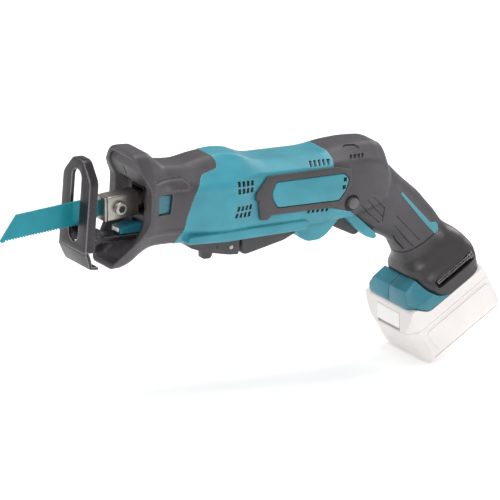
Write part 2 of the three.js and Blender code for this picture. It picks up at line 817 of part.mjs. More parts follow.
const bell = sleeve(CAN.r, CAN.back + 0.05, 218, 40)
  .subtract(motorRod(15.4, CAN.back - 2, 215.5, 40))
  .subtract(motorRod(2.06, 200, 230, 24))
  .subtract(box(205, 213.4, -30, 30, MOTOR_Z - 2.6, MOTOR_Z + 2.6));
add("end_bell", bell, "black");
const brush = box(208, 212.4, -19, -5.35, MOTOR_Z - 2.4, MOTOR_Z + 2.4);
add("brush_left", brush, "black");
add("brush_right", flipSide(brush), "black");

// ---- switch, trigger and lock-off ---------------------------------------------------------------

add("switch_module", box(234, 256, -12, 12, 1, 20), "black");
const trigger = sidePrism(
  [
    [226.5, -20],
    [225.6, -28.5],
    [228, -31.5],
    [247, -40.2],
    [251, -38.8],
    [256, -29],
    [248, -16.6],
    [228, -16.4],
  ],
  -8,
  8,
);
add("trigger", trigger, "rubber");
const lockButton = rod("y", 4.5, -30.5, 28, LOCK_X, LOCK_Z, 28).subtract(
  box(LOCK_X - 6, LOCK_X + 6, -3, 3, LOCK_Z - 6, LOCK_Z - 2.5),
);
add("lock_off_button", lockButton, "rubber");

// ---- paddle, its bracket and latch under the barrel ---------------------------------------------

const LATCH = { x: 120.5, z: -34 };
const bracketBody = sidePrism(
  [
    [86.5, -24],
    [141, -24],
    [141, -42.4],
    [132, -41.8],
    [111, -37.8],
    [98, -33.4],
  ],
  -12.6,
  12.6,
).subtract(barrel(0.25, 67, 215));
const latchRoom = box(104, 128, -3.6, 3.6, -60, -27.5);
const bracket = bracketBody
  .subtract(latchRoom)
  .subtract(rod("y", 2, -20, 20, 134, -36, 24))
  .subtract(rod("y", 1.5, -20, 20, LATCH.x, LATCH.z, 20));
add("paddle_bracket", bracket, "rubber");
add("latch_pin", rod("y", 1.5, -12.4, 12.4, LATCH.x, LATCH.z, 20), "steel");
const latch = sidePrism(
  [
    [115, -46.4],
    [122.5, -46.6],
    [124, -43],
    [124.4, -36],
    [124.6, -32],
    [120, -30.4],
    [113.5, -33],
  ],
  -3.2,
  3.2,
).subtract(rod("y", 1.56, -20, 20, LATCH.x, LATCH.z, 20));
add("paddle_latch", latch, "rubber");
const paddle = sidePrism(
  [
    [142.6, -25.8],
    [188, -24.5],
    [193.5, -23.6],
    [195.2, -26.5],
    [194.2, -29.3],
    [181, -35.6],
    [148, -43.2],
    [143.8, -42.2],
  ],
  -13,
  13,
).subtract(rod("y", 1.56, -20, 20, HINGE.x, HINGE.z, 20));
add("paddle", paddle, "rubber");
add("paddle_pin", rod("y", HINGE.r, -16.5, 16.5, HINGE.x, HINGE.z, 20), "steel");

// ---- foot and battery adapter, drawn on the battery's base --------------------------------------

const footOuter = loft(FOOT_RINGS.map((ring) => handleRing(ring, 0)));
const footInside = (grow) =>
  loft(
    FOOT_RINGS.map((ring, i) => {
      const end = i === 0 ? -5 : i === FOOT_RINGS.length - 1 ? 5 : 0;
      return handleRing([ring[0] + end, ...ring.slice(1)], grow);
    }),
  );
const footHollow = footInside(-3);
const ADAPTER_EDGE = [
  [-60, 62],
  [-8.2, 62],
  [-6, 50],
  [-1, 42],
  [10.6, 35],
  [-60, 35],
];
const adapterRoom = sidePrism(ADAPTER_EDGE, -60, 60);
const KEY = { z: 49.4, from: 4, to: 40, r: 2 };
const keyGroove = box(KEY.from - 2, KEY.to + 2, -40, -27.4, KEY.z - 3.2, KEY.z + 3.2);
const footShell = footOuter.subtract(footHollow).subtract(adapterRoom);
const keyWall = box(KEY.from - 4, KEY.to + 4, -27.3, -24.5, KEY.z - 6, KEY.z + 6);
const footLeft = footShell
  .subtract(keyGroove)
  .add(keyWall.intersect(footOuter).subtract(adapterRoom));
add("foot_left", inFoot(footLeft.intersect(halfLeft)), "black");
add("foot_right", inFoot(footShell.intersect(halfRight)), "black");
const key = rod("x", KEY.r, KEY.from, KEY.to, -29.6, KEY.z + 0.6, 6).add(
  rod("z", KEY.r, KEY.z - 1.2, KEY.z + 12, KEY.to - 2, -29.6, 6),
);
add("hex_key", inFoot(key.intersect(box(-100, 100, -60, 60, 0, KEY.z + 3.0))), "darkSteel");

const adapterPlan = [
  [-26.5, -25.5],
  [-20.5, -BATTERY_HALF],
  [24, -BATTERY_HALF],
  [24, BATTERY_HALF],
  [-20.5, BATTERY_HALF],
  [-26.5, 25.5],
];
const adapterSide = [
  [-26.5, 46],
  [-26, 48.5],
  [-20, 57.2],
  [-8.5, 58.6],
  [-3, 59],
  [-3, 46],
  [24, 46],
  [24, 37.2],
  [-13.6, 37.2],
  [-22.2, 46],
];
const adapterFront = [
  [-BATTERY_HALF, 30],
  [-BATTERY_HALF, 46],
  [-27, 52],
  [-20, 60],
  [20, 60],
  [27, 52],
  [BATTERY_HALF, 46],
  [BATTERY_HALF, 30],
];
const tongue = box(-14, 38, -17, 17, 28.6, 33).add(box(-14, 38, -13.6, 13.6, 32.9, 40));
const terminalRoom = box(-8, 30, -9, 9, 20, 42);
const adapter = planPrism(adapterPlan, 30, 70)
  .intersect(sidePrism(adapterSide, -60, 60))
  .intersect(frontPrism(adapterFront, -60, 60))
  .subtract(box(KEY.from - 4.3, KEY.to + 4.3, -40, -24.2, KEY.z - 6.3, KEY.z + 6.3))
  .intersect(footInside(-3.3).add(adapterRoom.translate([-0.3, 0, -0.3])))
  .add(tongue)
  .subtract(terminalRoom);
add("adapter_left", inFoot(adapter.intersect(halfLeft)), "teal");
add("adapter_right", inFoot(adapter.intersect(halfRight)), "teal");
const terminals = box(-7.8, 29.8, -8.8, 8.8, 34, 41.8)
  .add(box(2, 16, -6.4, -5.4, 29, 34.1))
  .add(box(2, 16, 5.4, 6.4, 29, 34.1));
add("terminal_block", inFoot(terminals), "black");

// ---- battery -------------------------------------------------------------------------------------

const packPlan = (inset) => [
  [-36.6 + inset, -23.5],
  [-29 + inset, -BATTERY_HALF + inset],
  [39 - inset, -BATTERY_HALF + inset],
  [43 - inset, -29 + inset],
  [43 - inset, 29 - inset],
  [39 - inset, BATTERY_HALF - inset],
  [-29 + inset, BATTERY_HALF - inset],
  [-36.6 + inset, 23.5],
];
const PACK_LOW = -3.3; // underside, below the line that the foot is drawn on
const PACK_SIDE = [
  [-31, PACK_LOW],
  [35.5, PACK_LOW],
  [39, 1],
  [43, 28],
  [43, 36.4],
  [-14.2, 36.4],
  [-22.8, 45.2],
  [-27.3, 45.2],
  [-36.6, 29],
  [-36.6, 10],
  [-34.6, 1],
];
const packEnds = frontPrism(
  [
    [-28, PACK_LOW],
    [28, PACK_LOW],
    [BATTERY_HALF, 3],
    [BATTERY_HALF, 60],
    [-BATTERY_HALF, 60],
    [-BATTERY_HALF, 3],
  ],
  -60,
  60,
);
const packOuter = planPrism(packPlan(0), PACK_LOW, 50)
  .intersect(sidePrism(PACK_SIDE, -60, 60))
  .intersect(packEnds);
const packSplit = 27.9;
// the room's ends slope with the case, so its walls stay about 2.4 mm thick
const PACK_ROOM = [
  [-32.2, -2],
  [36.2, -2],
  [38.3, 9.5],
  [40.4, 25],
  [-34, 25],
];
const packHollow = planPrism(packPlan(2.4), PACK_LOW + 2.5, 24.2).intersect(
  sidePrism(PACK_ROOM, -60, 60),
);
const channel = box(-14.6, 60, -17.4, 17.4, 28.2, 33.4).add(
  box(-14.6, 60, -14, 14, 33.3, 50),
);
const contactRoom = box(0, 60, -7.4, -4.4, 24.6, 30).add(box(0, 60, 4.4, 7.4, 24.6, 30));
const buttonRoom = box(-60, -22.6, -15.4, 15.4, 27.6, 41.6);
const packUpper = packOuter
  .intersect(box(-60, 60, -60, 60, packSplit + 0.05, 60))
  .subtract(channel)
  .subtract(buttonRoom);
add("battery_cover", inFoot(packUpper), "pale");
const packLower = packOuter
  .intersect(box(-60, 60, -60, 60, PACK_LOW, packSplit - 0.05))
  .subtract(packHollow)
  .subtract(planPrism(packPlan(5), 20, 40));
add("battery_case", inFoot(packLower), "pale");
for (let i = 0; i < 3; i++) {
  const cell = rod("y", 9.3, -27, 27, -19 + i * 20, 13.6, 24);
  add(`battery_cell_${i + 1}`, inFoot(cell), "steel");
}
const button = sidePrism(
  [
    [-36.2, 31],
    [-30.2, 41.4],
    [-24.4, 41.4],
    [-24.4, 31],
  ],
  -15,
  15,
);
add("battery_button", inFoot(button), "white");

// ---- housing screws on the right side --------------------------------------------------------------

SCREWS.forEach(([x, z], i) => {
  const screw = rod("y", 2.6, 22, 27.2, x, z, 20).subtract(rod("y", 1.4, 26, 30, x, z, 6));
  add(`housing_screw_${i + 1}`, screw, "steel");
});

export default saw;
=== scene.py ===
"""Looks for a compact cordless reciprocating saw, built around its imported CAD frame.

Shapes are drawn in millimetres from the middle of the shoe: X to the rear, Z up, the tool's
left side at -Y. finish_piece() brings each one to metres and raises it into the row frame.
"""
import math

import bmesh
import bpy
from mathutils import Matrix, Vector


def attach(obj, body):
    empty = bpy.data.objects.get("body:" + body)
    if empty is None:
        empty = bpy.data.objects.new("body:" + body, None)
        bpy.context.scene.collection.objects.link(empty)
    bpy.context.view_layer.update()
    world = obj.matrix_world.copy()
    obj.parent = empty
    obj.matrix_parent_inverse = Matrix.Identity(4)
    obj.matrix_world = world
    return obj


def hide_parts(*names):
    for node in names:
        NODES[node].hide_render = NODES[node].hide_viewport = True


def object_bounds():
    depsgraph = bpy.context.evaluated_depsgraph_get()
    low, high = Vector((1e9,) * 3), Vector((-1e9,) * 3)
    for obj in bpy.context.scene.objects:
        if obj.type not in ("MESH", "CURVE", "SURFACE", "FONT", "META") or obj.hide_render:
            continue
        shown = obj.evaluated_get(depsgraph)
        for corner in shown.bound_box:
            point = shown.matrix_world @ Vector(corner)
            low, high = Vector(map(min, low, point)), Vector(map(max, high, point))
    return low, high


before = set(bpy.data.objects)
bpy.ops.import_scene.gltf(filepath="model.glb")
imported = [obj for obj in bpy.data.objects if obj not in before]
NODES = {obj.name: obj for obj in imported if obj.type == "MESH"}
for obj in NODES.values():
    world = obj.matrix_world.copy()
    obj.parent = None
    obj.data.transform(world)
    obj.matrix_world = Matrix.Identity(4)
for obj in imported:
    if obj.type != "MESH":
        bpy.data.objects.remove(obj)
CAD_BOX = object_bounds()

# ---- driving dimensions, millimetres --------------------------------------------------------
MM = 0.001
RISE = 23.0  # from the row frame's origin to the middle of the shoe
SEAM = 0.12  # half the seam between the two clamshell halves
SKIN = 2.0  # thickness of the rubber overmoulds
SKIN_GAP = 0.22
WALL = 5.0
NOSE_TILT = math.radians(5.5)
FOOT_TILT = math.radians(34.0)
NOSE_RISE = 1.2
NOSE = Matrix.Translation((0, 0, NOSE_RISE)) @ Matrix.Rotation(-NOSE_TILT, 4, "Y")
FOOT = Matrix.Translation((335.9, 0, -122.2)) @ Matrix.Rotation(-FOOT_TILT, 4, "Y")
BATTERY_HALF = 33.0
PANEL_Y = 28.6

# ---- mesh helpers ---------------------------------------------------------------------------


def from_bmesh(bm, name="work"):
    """A new object from a bmesh, with its faces turned outwards."""
    bmesh.ops.recalc_face_normals(bm, faces=bm.faces)
    if bm.calc_volume(signed=True) < 0:
        bmesh.ops.reverse_faces(bm, faces=bm.faces)
    data = bpy.data.meshes.new(name)
    bm.to_mesh(data)
    bm.free()
    made = bpy.data.objects.new(name, data)
    bpy.context.scene.collection.objects.link(made)
    return made


def solid(points, faces, name="work"):
    bm = bmesh.new()
    corners = [bm.verts.new(p) for p in points]
    for face in faces:
        bm.faces.new([corners[i] for i in face])
    return from_bmesh(bm, name)


def copy(made):
    twin = made.copy()
    twin.data = made.data.copy()
    bpy.context.scene.collection.objects.link(twin)
    return twin


def drop(*objects):
    for made in objects:
        data = made.data
        bpy.data.objects.remove(made)
        bpy.data.meshes.remove(data)


def applied(made):
    """Applies the object's modifiers to its mesh."""
    graph = bpy.context.evaluated_depsgraph_get()
    data = bpy.data.meshes.new_from_object(made.evaluated_get(graph))
    old = made.data
    made.modifiers.clear()
    made.data = data
    bpy.data.meshes.remove(old)
    return made


def boolean(kind, made, tools, keep=False):
    for tool in tools:
        step = made.modifiers.new(kind, "BOOLEAN")
        step.operation = kind
        step.solver = "MANIFOLD"
        step.object = tool
    applied(made)
    if not keep:
        drop(*tools)
    return made


def cut(made, *tools, keep=False):
    return boolean("DIFFERENCE", made, tools, keep)


def joined(made, *tools, keep=False):
    return boolean("UNION", made, tools, keep)


def common(made, *tools, keep=False):
    return boolean("INTERSECT", made, tools, keep)


def moved(made, matrix):
    made.data.transform(matrix)
    return made


def in_nose(made):
    return moved(made, NOSE)


def in_foot(made):
    return moved(made, FOOT)


def mirrored(made):
    """The object's twin on the other side of the tool."""
    twin = copy(made)
    twin.data.transform(Matrix.Scale(-1, 4, (0, 1, 0)))
    twin.data.flip_normals()
    return twin


def rounded(points, radius, steps=4):
    """A closed outline with its corners rounded by up to that radius."""
    made = []
    count = len(points)
    for i, corner in enumerate(points):
        here = Vector(corner)
        back, ahead = Vector(points[i - 1]) - here, Vector(points[(i + 1) % count]) - here
        reach = min(radius, back.length * 0.45, ahead.length * 0.45)
        start, end = here + back.normalized() * reach, here + ahead.normalized() * reach
        for k in range(steps + 1):
            t = k / steps
            made.append(tuple(start * (1 - t) ** 2 + here * 2 * t * (1 - t) + end * t * t))
    return made


AXES = {
    "x": lambda u, v, w: (w, u, v),
    "y": lambda u, v, w: (u, w, v),
    "z": lambda u, v, w: (u, v, w),
}


def prism(axis, points, low, high, bevel=0.0, segments=2):
    """An outline pushed along an axis, its two end faces' edges rounded by bevel."""
    place = AXES[axis]
    bm = bmesh.new()
    ends = [[bm.verts.new(place(u, v, w)) for u, v in points] for w in (low, high)]
    caps = [bm.faces.new(end) for end in ends]
    count = len(points)
    for i in range(count):
        j = (i + 1) % count
        bm.faces.new((ends[0][i], ends[0][j], ends[1][j], ends[1][i]))
    if bevel:
        bmesh.ops.recalc_face_normals(bm, faces=bm.faces)
        edges = {edge for cap in caps for edge in cap.edges}
        bmesh.ops.bevel(bm, geom=list(edges), offset=bevel, segments=segments,
                        profile=0.5, affect="EDGES", clamp_overlap=True)
    return from_bmesh(bm)


def box(x0, x1, y0, y1, z0, z1, bevel=0.0, segments=2):
    bm = bmesh.new()
    bmesh.ops.create_cube(bm, size=1)
    for v in bm.verts:
        v.co = Vector((x0 if v.co.x < 0 else x1, y0 if v.co.y < 0 else y1,
                       z0 if v.co.z < 0 else z1))
    if bevel:
        bmesh.ops.bevel(bm, geom=list(bm.edges), offset=bevel, segments=segments,
                        profile=0.5, affect="EDGES", clamp_overlap=True)
    return from_bmesh(bm)


def rod(axis, radius, low, high, u=0.0, v=0.0, sides=48, bevel=0.0, segments=2):
    turns = [2 * math.pi * i / sides for i in range(sides)]
    ring = [(u + radius * math.cos(a), v + radius * math.sin(a)) for a in turns]
    return prism(axis, ring, low, high, bevel, segments)


def loft(rings):
    """Rings of equal length, each a closed loop of points, skinned into one closed body."""
    count = len(rings[0])
    points = [p for ring in rings for p in ring]
    faces = [
        (i * count + j, i * count + (j + 1) % count,
         (i + 1) * count + (j + 1) % count, (i + 1) * count + j)
        for i in range(len(rings) - 1)
        for j in range(count)
    ]
    for ring in (0, len(rings) - 1):
        points.append(tuple(sum((Vector(p) for p in rings[ring]), Vector()) / count))
        faces += [(len(points) - 1, ring * count + j, ring * count + (j + 1) % count)
                  for j in range(count)]
    return solid(points, faces)


def softened(made, voxel, passes):
    """The object remeshed in even cells and smoothed, so its edges come out moulded."""
    remesh = made.modifiers.new("remesh", "REMESH")
    remesh.mode = "VOXEL"
    remesh.voxel_size = voxel
    smooth = made.modifiers.new("smooth", "SMOOTH")
    smooth.factor = 0.5
    smooth.iterations = passes
    return applied(made)


def edge_bevel(made, width, segments=2, angle=28.0):
    """Rounds the edges that are sharper than angle."""
    bm = bmesh.new()
    bm.from_mesh(made.data)
    bmesh.ops.dissolve_limit(bm, angle_limit=math.radians(1.0), verts=bm.verts, edges=bm.edges)
    sharp = [e for e in bm.edges
             if len(e.link_faces) == 2 and e.calc_face_angle(0) > math.radians(angle)]
    bmesh.ops.bevel(bm, geom=sharp, offset=width, segments=segments, profile=0.5,
                    affect="EDGES", clamp_overlap=True)
    bm.to_mesh(made.data)
    bm.free()
    return made


def finish_piece(made, name, material, body, *nodes, slot=None, angle=32.0):
    """Names a piece, brings it to metres, gives it its finish and puts it on its body."""
    bm = bmesh.new()
    bm.from_mesh(made.data)
    for face in bm.faces:
        face.smooth = True
        face.material_index = 0
    for edge in bm.edges:
        edge.smooth = len(edge.link_faces) == 2 and edge.calc_face_angle(0) < math.radians(angle)
    bm.to_mesh(made.data)
    bm.free()
    made.data.transform(Matrix.Scale(MM, 4) @ Matrix.Translation((0, 0, RISE)))
    made.name = made.data.name = name
    made.data.materials.clear()
    made.data.materials.append(material)
    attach(made, body)
    if nodes:
        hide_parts(*nodes)
    return made


def finish_pair(made, stem, material, node_stem=None, slot=None):
    """Finishes a left-hand piece and its twin on the right; both ride on the frame."""
    twin = mirrored(made)
    for side_piece, side in ((made, "_left"), (twin, "_right")):
        nodes = (node_stem + side,) if node_stem else ()
        finish_piece(side_piece, stem + side, material, "frame", *nodes, slot=slot)


# ---- materials ------------------------------------------------------------------------------


class Shader:
    """A node material whose surface is one Principled shader."""

    def __init__(self, name):
        self.material = bpy.data.materials.new(name)
        self.material.use_nodes = True
        self.tree = self.material.node_tree
        self.surface = self.tree.nodes["Principled BSDF"]
        self.place = self.node("ShaderNodeTexCoord").outputs["Object"]

    def node(self, kind, **values):
        made = self.tree.nodes.new(kind)
        for key, value in values.items():
            setattr(made, key, value)
        return made

    def link(self, source, target):
        self.tree.links.new(source, target)
        return self

    def noise(self, scale, detail=2.0, roughness=0.5, stretch=(1, 1, 1)):
        mapping = self.node("ShaderNodeMapping")
        mapping.inputs["Scale"].default_value = stretch
        self.link(self.place, mapping.inputs["Vector"])
        made = self.node("ShaderNodeTexNoise")
        made.inputs["Scale"].default_value = scale
        made.inputs["Detail"].default_value = detail
        made.inputs["Roughness"].default_value = roughness
        self.link(mapping.outputs[0], made.inputs["Vector"])
        return made.outputs[0]

    def ranged(self, source, low, high, out_low, out_high):
        made = self.node("ShaderNodeMapRange")
        for key, value in zip(("From Min", "From Max", "To Min", "To Max"),
                              (low, high, out_low, out_high)):
            made.inputs[key].default_value = value
        self.link(source, made.inputs["Value"])
        return made.outputs[0]

    def mixed(self, factor, first, second):
        """first and second are colours, or outputs that carry one."""
        made = self.node("ShaderNodeMix", data_type="RGBA")
        self.link(factor, made.inputs["Factor"])
        for socket, value in zip((made.inputs[6], made.inputs[7]), (first, second)):
            if isinstance(value, bpy.types.NodeSocket):
                self.link(value, socket)
            else:
                socket.default_value = (*value, 1)
        return made.outputs[2]

    def edges(self, radius):
        """0 on open faces, rising to 1 along edges and corners."""
        bevel = self.node("ShaderNodeBevel", samples=4)
        bevel.inputs["Radius"].default_value = radius
        plain = self.node("ShaderNodeNewGeometry")
        dot = self.node("ShaderNodeVectorMath", operation="DOT_PRODUCT")
        self.link(bevel.outputs[0], dot.inputs[0])
        self.link(plain.outputs["Normal"], dot.inputs[1])
        return self.ranged(dot.outputs["Value"], 0.992, 0.88, 0, 1), bevel.outputs[0]

    def bumped(self, height, strength, distance, normal=None):
        bump = self.node("ShaderNodeBump")
        bump.inputs["Strength"].default_value = strength
        bump.inputs["Distance"].default_value = distance
        self.link(height, bump.inputs["Height"])
        if normal:
            self.link(normal, bump.inputs["Normal"])
        return bump.outputs[0]

    def set(self, **values):
        for key, value in values.items():
            self.surface.inputs[key.replace("_", " ")].default_value = value
        return self


def linear(red, green, blue):
    """An sRGB colour, 0 to 255, as the linear values that a shader takes."""
    return tuple(((c / 255 + 0.055) / 1.055) ** 2.4 if c > 10 else c / 3294.6
                 for c in (red, green, blue))


def moulded(name, colour, worn_and_lit, rough, grain, depth, radius=0.0005, spread=0.10, specular=0.5):
    """A moulded plastic or rubber: a fine grain, slow changes of tone and gloss, and edges lightened
    partly as rubbed wear and partly as a painted highlight.
    """
    made = Shader(name)
    slow = made.noise(38, 3)
    shade = tuple(c * (1 - spread) for c in colour)
    light = tuple(min(1, c * (1 + spread)) for c in colour)
    body = made.mixed(made.ranged(slow, 0.35, 0.65, 0, 1), shade, light)
    edge, soft = made.edges(radius)
    patchy = made.noise(420, 4, 0.65)
    # Edges are mixed towards the lighter edge colour in patches: partly rubbed wear, partly a painted
    # highlight.
    wear_and_highlight = made.node("ShaderNodeMath", operation="MULTIPLY")
    made.link(edge, wear_and_highlight.inputs[0])
    made.link(made.ranged(patchy, 0.35, 0.65, 0.25, 0.8), wear_and_highlight.inputs[1])
    made.link(made.mixed(wear_and_highlight.outputs[0], body, worn_and_lit), made.surface.inputs["Base Color"])
    made.link(made.ranged(made.noise(160, 5, 0.6), 0.3, 0.7, rough - 0.06, rough + 0.08),
              made.surface.inputs["Roughness"])
    made.link(made.bumped(made.noise(grain, 3, 0.6), depth, 0.00012, soft),
              made.surface.inputs["Normal"])
    made.set(Specular_IOR_Level=specular)
    return made.material


def metal(name, colour, worn_and_lit, rough, stretch, depth, metallic=1.0, radius=0.0004):
    """A metal with a drawn or cast grain, stretched along one axis, and edges brightened partly as
    wear and partly as a painted highlight.
    """
    made = Shader(name)
    slow = made.noise(60, 4, 0.6)
    shade = tuple(c * 0.82 for c in colour)
    body = made.mixed(made.ranged(slow, 0.35, 0.65, 0, 1), shade, colour)
    edge, soft = made.edges(radius)
    # The brighter edge colour is partly wear and partly a painted highlight.
    made.link(made.mixed(edge, body, worn_and_lit), made.surface.inputs["Base Color"])
    grain = made.noise(900, 4, 0.7, stretch)
    made.link(made.ranged(grain, 0.3, 0.7, rough - 0.07, rough + 0.10),
              made.surface.inputs["Roughness"])
    made.link(made.bumped(grain, depth, 0.00008, soft), made.surface.inputs["Normal"])
    made.set(Metallic=metallic)
    return made.material


TEAL = moulded("teal_plastic", linear(54, 140, 156), linear(150, 208, 216), 0.38, 2600, 0.18,
               radius=0.0008)
RUBBER = moulded("grey_rubber", linear(66, 63, 66), linear(118, 115, 118), 0.48, 3400, 0.4)
DARK = moulded("dark_plastic", linear(62, 59, 61), linear(116, 112, 114), 0.42, 2800, 0.25)
KNOB = moulded("knob_rubber", linear(92, 90, 93), linear(136, 134, 137), 0.40, 2800, 0.25)
BLACK = moulded("black_plastic", linear(54, 51, 52), linear(112, 108, 108), 0.34, 2200, 0.15,
                radius=0.0009)
# A near-black that paints shade in the vents, round the windows, in the door and on the button's
# recesses, and also fills the adapter's seam.
SHADE_AND_SEAM_BLACK = moulded("shade_and_seam_black", linear(30, 29, 31), linear(60, 58, 60), 0.6, 3000, 0.3)
# The boot's lighter edge colour over a wider radius paints a highlight along its lip.
BOOT_RUBBER = moulded("boot_rubber", linear(66, 63, 66), linear(134, 131, 134), 0.44, 3400, 0.3,
                    radius=0.0018)
ADAPTER_TEAL = moulded("adapter_plastic", linear(46, 122, 139), linear(120, 186, 198), 0.38,
                       2600, 0.18, radius=0.0008)
# A darker copy of the teal: painted shade on the teal behind the boot's windows and on the nose under
# the clamp.
SHADED_TEAL = moulded("shaded_teal_plastic", linear(34, 104, 122), linear(96, 160, 174), 0.30, 2600,
                    0.15, radius=0.0006)
CARBON = moulded("carbon_block", linear(34, 33, 34), linear(58, 56, 58), 0.55, 3000, 0.4)
SHELL = moulded("battery_shell", linear(230, 225, 222), linear(246, 243, 241), 0.46, 2400, 0.15,
                spread=0.03)
RELEASE = moulded("battery_release", linear(244, 241, 239), linear(252, 250, 249), 0.42, 2400,
                  0.12, spread=0.02)
LENS = moulded("lamp_lens", linear(228, 232, 234), linear(250, 250, 250), 0.14, 900, 0.05,
               spread=0.03)
WRAP = moulded("cell_wrap", linear(92, 150, 120), linear(150, 190, 170), 0.38, 900, 0.1)
# The dark steel's bright edge colour paints a highlight along the rims, besides paint worn to bare
# metal.
SHOE_STEEL = metal("dark_steel", linear(52, 49, 52), linear(172, 168, 170), 0.30, (1, 1, 1),
                   0.2, metallic=0.45, radius=0.0013)
STEEL = metal("satin_steel", linear(178, 173, 167), linear(232, 229, 225), 0.34, (1, 1, 0.06),
              0.3)
BLADE_PAINT = metal("blade_paint", linear(8, 138, 152), linear(120, 205, 212), 0.36,
                    (0.05, 1, 1), 0.12, metallic=0.25)
CAST = metal("cast_aluminium", linear(112, 114, 117), linear(168, 170, 172), 0.52, (1, 1, 1),
             0.6)
BRONZE = metal("bronze", linear(176, 141, 84), linear(220, 190, 140), 0.38, (1, 0.1, 1), 0.2)
COPPER = metal("copper", linear(184, 112, 66), linear(226, 164, 124), 0.36, (0.1, 1, 1), 0.2)

# ---- the outer form -------------------------------------------------------------------------


def through(table, at):
    """A smooth row between a table's rows, never passing above or below its neighbours."""
    places = [row[0] for row in table]
    i = max(0, min(len(table) - 2, sum(1 for p in places if p <= at) - 1))
    wide = places[i + 1] - places[i]
    t = min(1.0, max(0.0, (at - places[i]) / wide))

    def slope(j, k):
        if j in (0, len(table) - 1):
            return 0.0 if j else (table[1][k] - table[0][k]) / (places[1] - places[0])
        before = (table[j][k] - table[j - 1][k]) / (places[j] - places[j - 1])
        after = (table[j + 1][k] - table[j][k]) / (places[j + 1] - places[j])
        return 0.0 if before * after <= 0 else 2 * before * after / (before + after)

    row = [at]
    for k in range(1, len(table[0])):
        a, b = table[i][k], table[i + 1][k]
        m, n = slope(i, k) * wide, slope(i + 1, k) * wide
        row.append(a * (1 + 2 * t) * (1 - t) ** 2 + m * t * (1 - t) ** 2
                   + b * t * t * (3 - 2 * t) + n * t * t * (t - 1))
    return row


def stations(low, high, pitch):
    count = max(1, math.ceil((high - low) / pitch))
    return [low + (high - low) * i / count for i in range(count + 1)]


# x, top, half width of the top, half width, top and foot of the side, half width of the
# bottom, bottom
BARREL = [
    (26.5, 41.5, 14, 26, 25, -14, 14, -42.5),
    (34, 45.5, 15.5, 29, 28, -13, 15, -41.8),
    (43, 47, 16.5, 30.5, 28, -10, 16, -38),
    (51, 47, 15.5, 30.5, 27, -8, 16, -31.8),
    (58, 42.8, 13.5, 28, 24, -10, 16, -28),
    (63.5, 38, 12.4, 26.6, 21.5, -11.5, 16, -26.9),
    (70, 34.8, 12, 26.2, 20, -12, 16.4, -26.6),
    (85, 33.6, 11, 27.5, 20, -13, 18, -26.2),
    (105, 37.1, 10, 29.2, 19, -14, 21, -25.6),
    (122, 38.7, 9.5, 30, 19, -14, 23, -24.8),
    (134, 37.2, 10, 29.3, 21, -14, 23, -24.2),
    (141.5, 34.4, 10.5, 28.5, 23.5, -14, 23, -23.8),
    (149, 31.8, 11, 28.5, 24.5, -14, 23, -23.5),
    (160, 30.3, 11, 28.5, 24.5, -14, 23, -23.3),
    (208, 30.2, 11, 28.5, 24.5, -14, 22, -22.5),
    (214, 32.2, 12, 28.5, 24.5, -13, 21, -22),
    (224, 34, 12, 28.3, 24, -12.5, 20, -21.5),
    (240, 35.2, 11.5, 27.8, 23, -12, 19, -21),
    (253, 34.8, 11, 26.5, 20.5, -11, 17, -20),
    (262, 32, 10, 24.5, 16, -10, 14, -18),
    (267.5, 26.5, 8.5, 21.5, 10, -9, 11, -14),
    (270.5, 19.5, 7, 18.5, 5, -7, 9, -10),
]


def barrel_ring(row, grow, steps, cut_back=0.26, shift=0.0):
    x, top, flat_top, half, high, low, flat_bottom, bottom = row
    corners = [(0, top + grow), (flat_top, top + grow), (half + grow, high + grow * 0.5),
               (half + grow, low - grow * 0.5), (flat_bottom, bottom - grow),
               (0, bottom - grow)]
    side = []
    for i in range(1, 5):
        here = Vector(corners[i])
        start = here.lerp(Vector(corners[i - 1]), cut_back)
        end = here.lerp(Vector(corners[i + 1]), cut_back)
        for k in range(steps + 1):
            t = k / steps
            side.append(start * (1 - t) ** 2 + here * 2 * t * (1 - t) + end * t * t)
    return ([(x + shift, -p.x, p.y) for p in side]
            + [(x + shift, p.x, p.y) for p in reversed(side)])


def barrel(grow, low=26.5, high=270.5, pitch=2.5, steps=6, cut_back=0.26):
    places = stations(low, high, pitch)
    return loft([
        barrel_ring(through(BARREL, x), grow, steps, cut_back,
                    grow if x == places[-1] and high >= 270.5 else 0)
        for x in places
    ])


# height above the battery's base, front, back, half width, squareness
HANDLE = [
    (78, -3.5, 40, 18, 2.3),
    (88, -3.0, 39.2, 17.5, 2.3),
    (98, -7.2, 37.4, 17.5, 2.3),
    (108, -13.8, 35.8, 18, 2.3),
    (118, -20.5, 32.8, 19, 2.4),
    (128, -24, 29.6, 21, 2.4),
    (138, -25, 26.8, 23, 2.5),
    (147, -24.5, 24.6, 23.5, 2.5),
    (153, -22, 22.3, 22, 2.5),
]
FOOT_RINGS = [
    (36.8, -8, 43, 33, 4.2),
    (46, -9, 46.6, 33, 4.0),
    (52, -9.5, 48.2, 31, 3.7),
    (58, -9.5, 47.4, 26.5, 3.4),
    (63, -9, 45.8, 23, 3.6),
    (66.5, -7.5, 44.2, 20.5, 3.2),
    (71, -5, 42, 19, 2.5),
    (78, -3.5, 40, 18, 2.3),
]


def oval_ring(row, grow, up=None, count=72):
    height, front, back, half, power = row
    ring = []
    for i in range(count):
        c, s = math.cos(2 * math.pi * i / count), math.sin(2 * math.pi * i / count)
        a = math.copysign(abs(c) ** (2 / power), c)
        y = math.copysign(abs(s) ** (2 / power), s)
        ring.append(((front + back) / 2 + ((back - front) / 2 + grow) * a,
                     (half + grow) * y, height if up is None else up))
    return ring


def ovals(table, grow, low, high, pitch=2.0, stretch=(0.0, 0.0)):
    places = stations(low, high, pitch)
    ends = {places[0]: low + stretch[0], places[-1]: high + stretch[1]}
    return loft([oval_ring(through(table, w), grow, ends.get(w)) for w in places])


def handle(grow, low=78.0):
    return in_foot(ovals(HANDLE, grow, low, 153.0, stretch=(0, grow)))


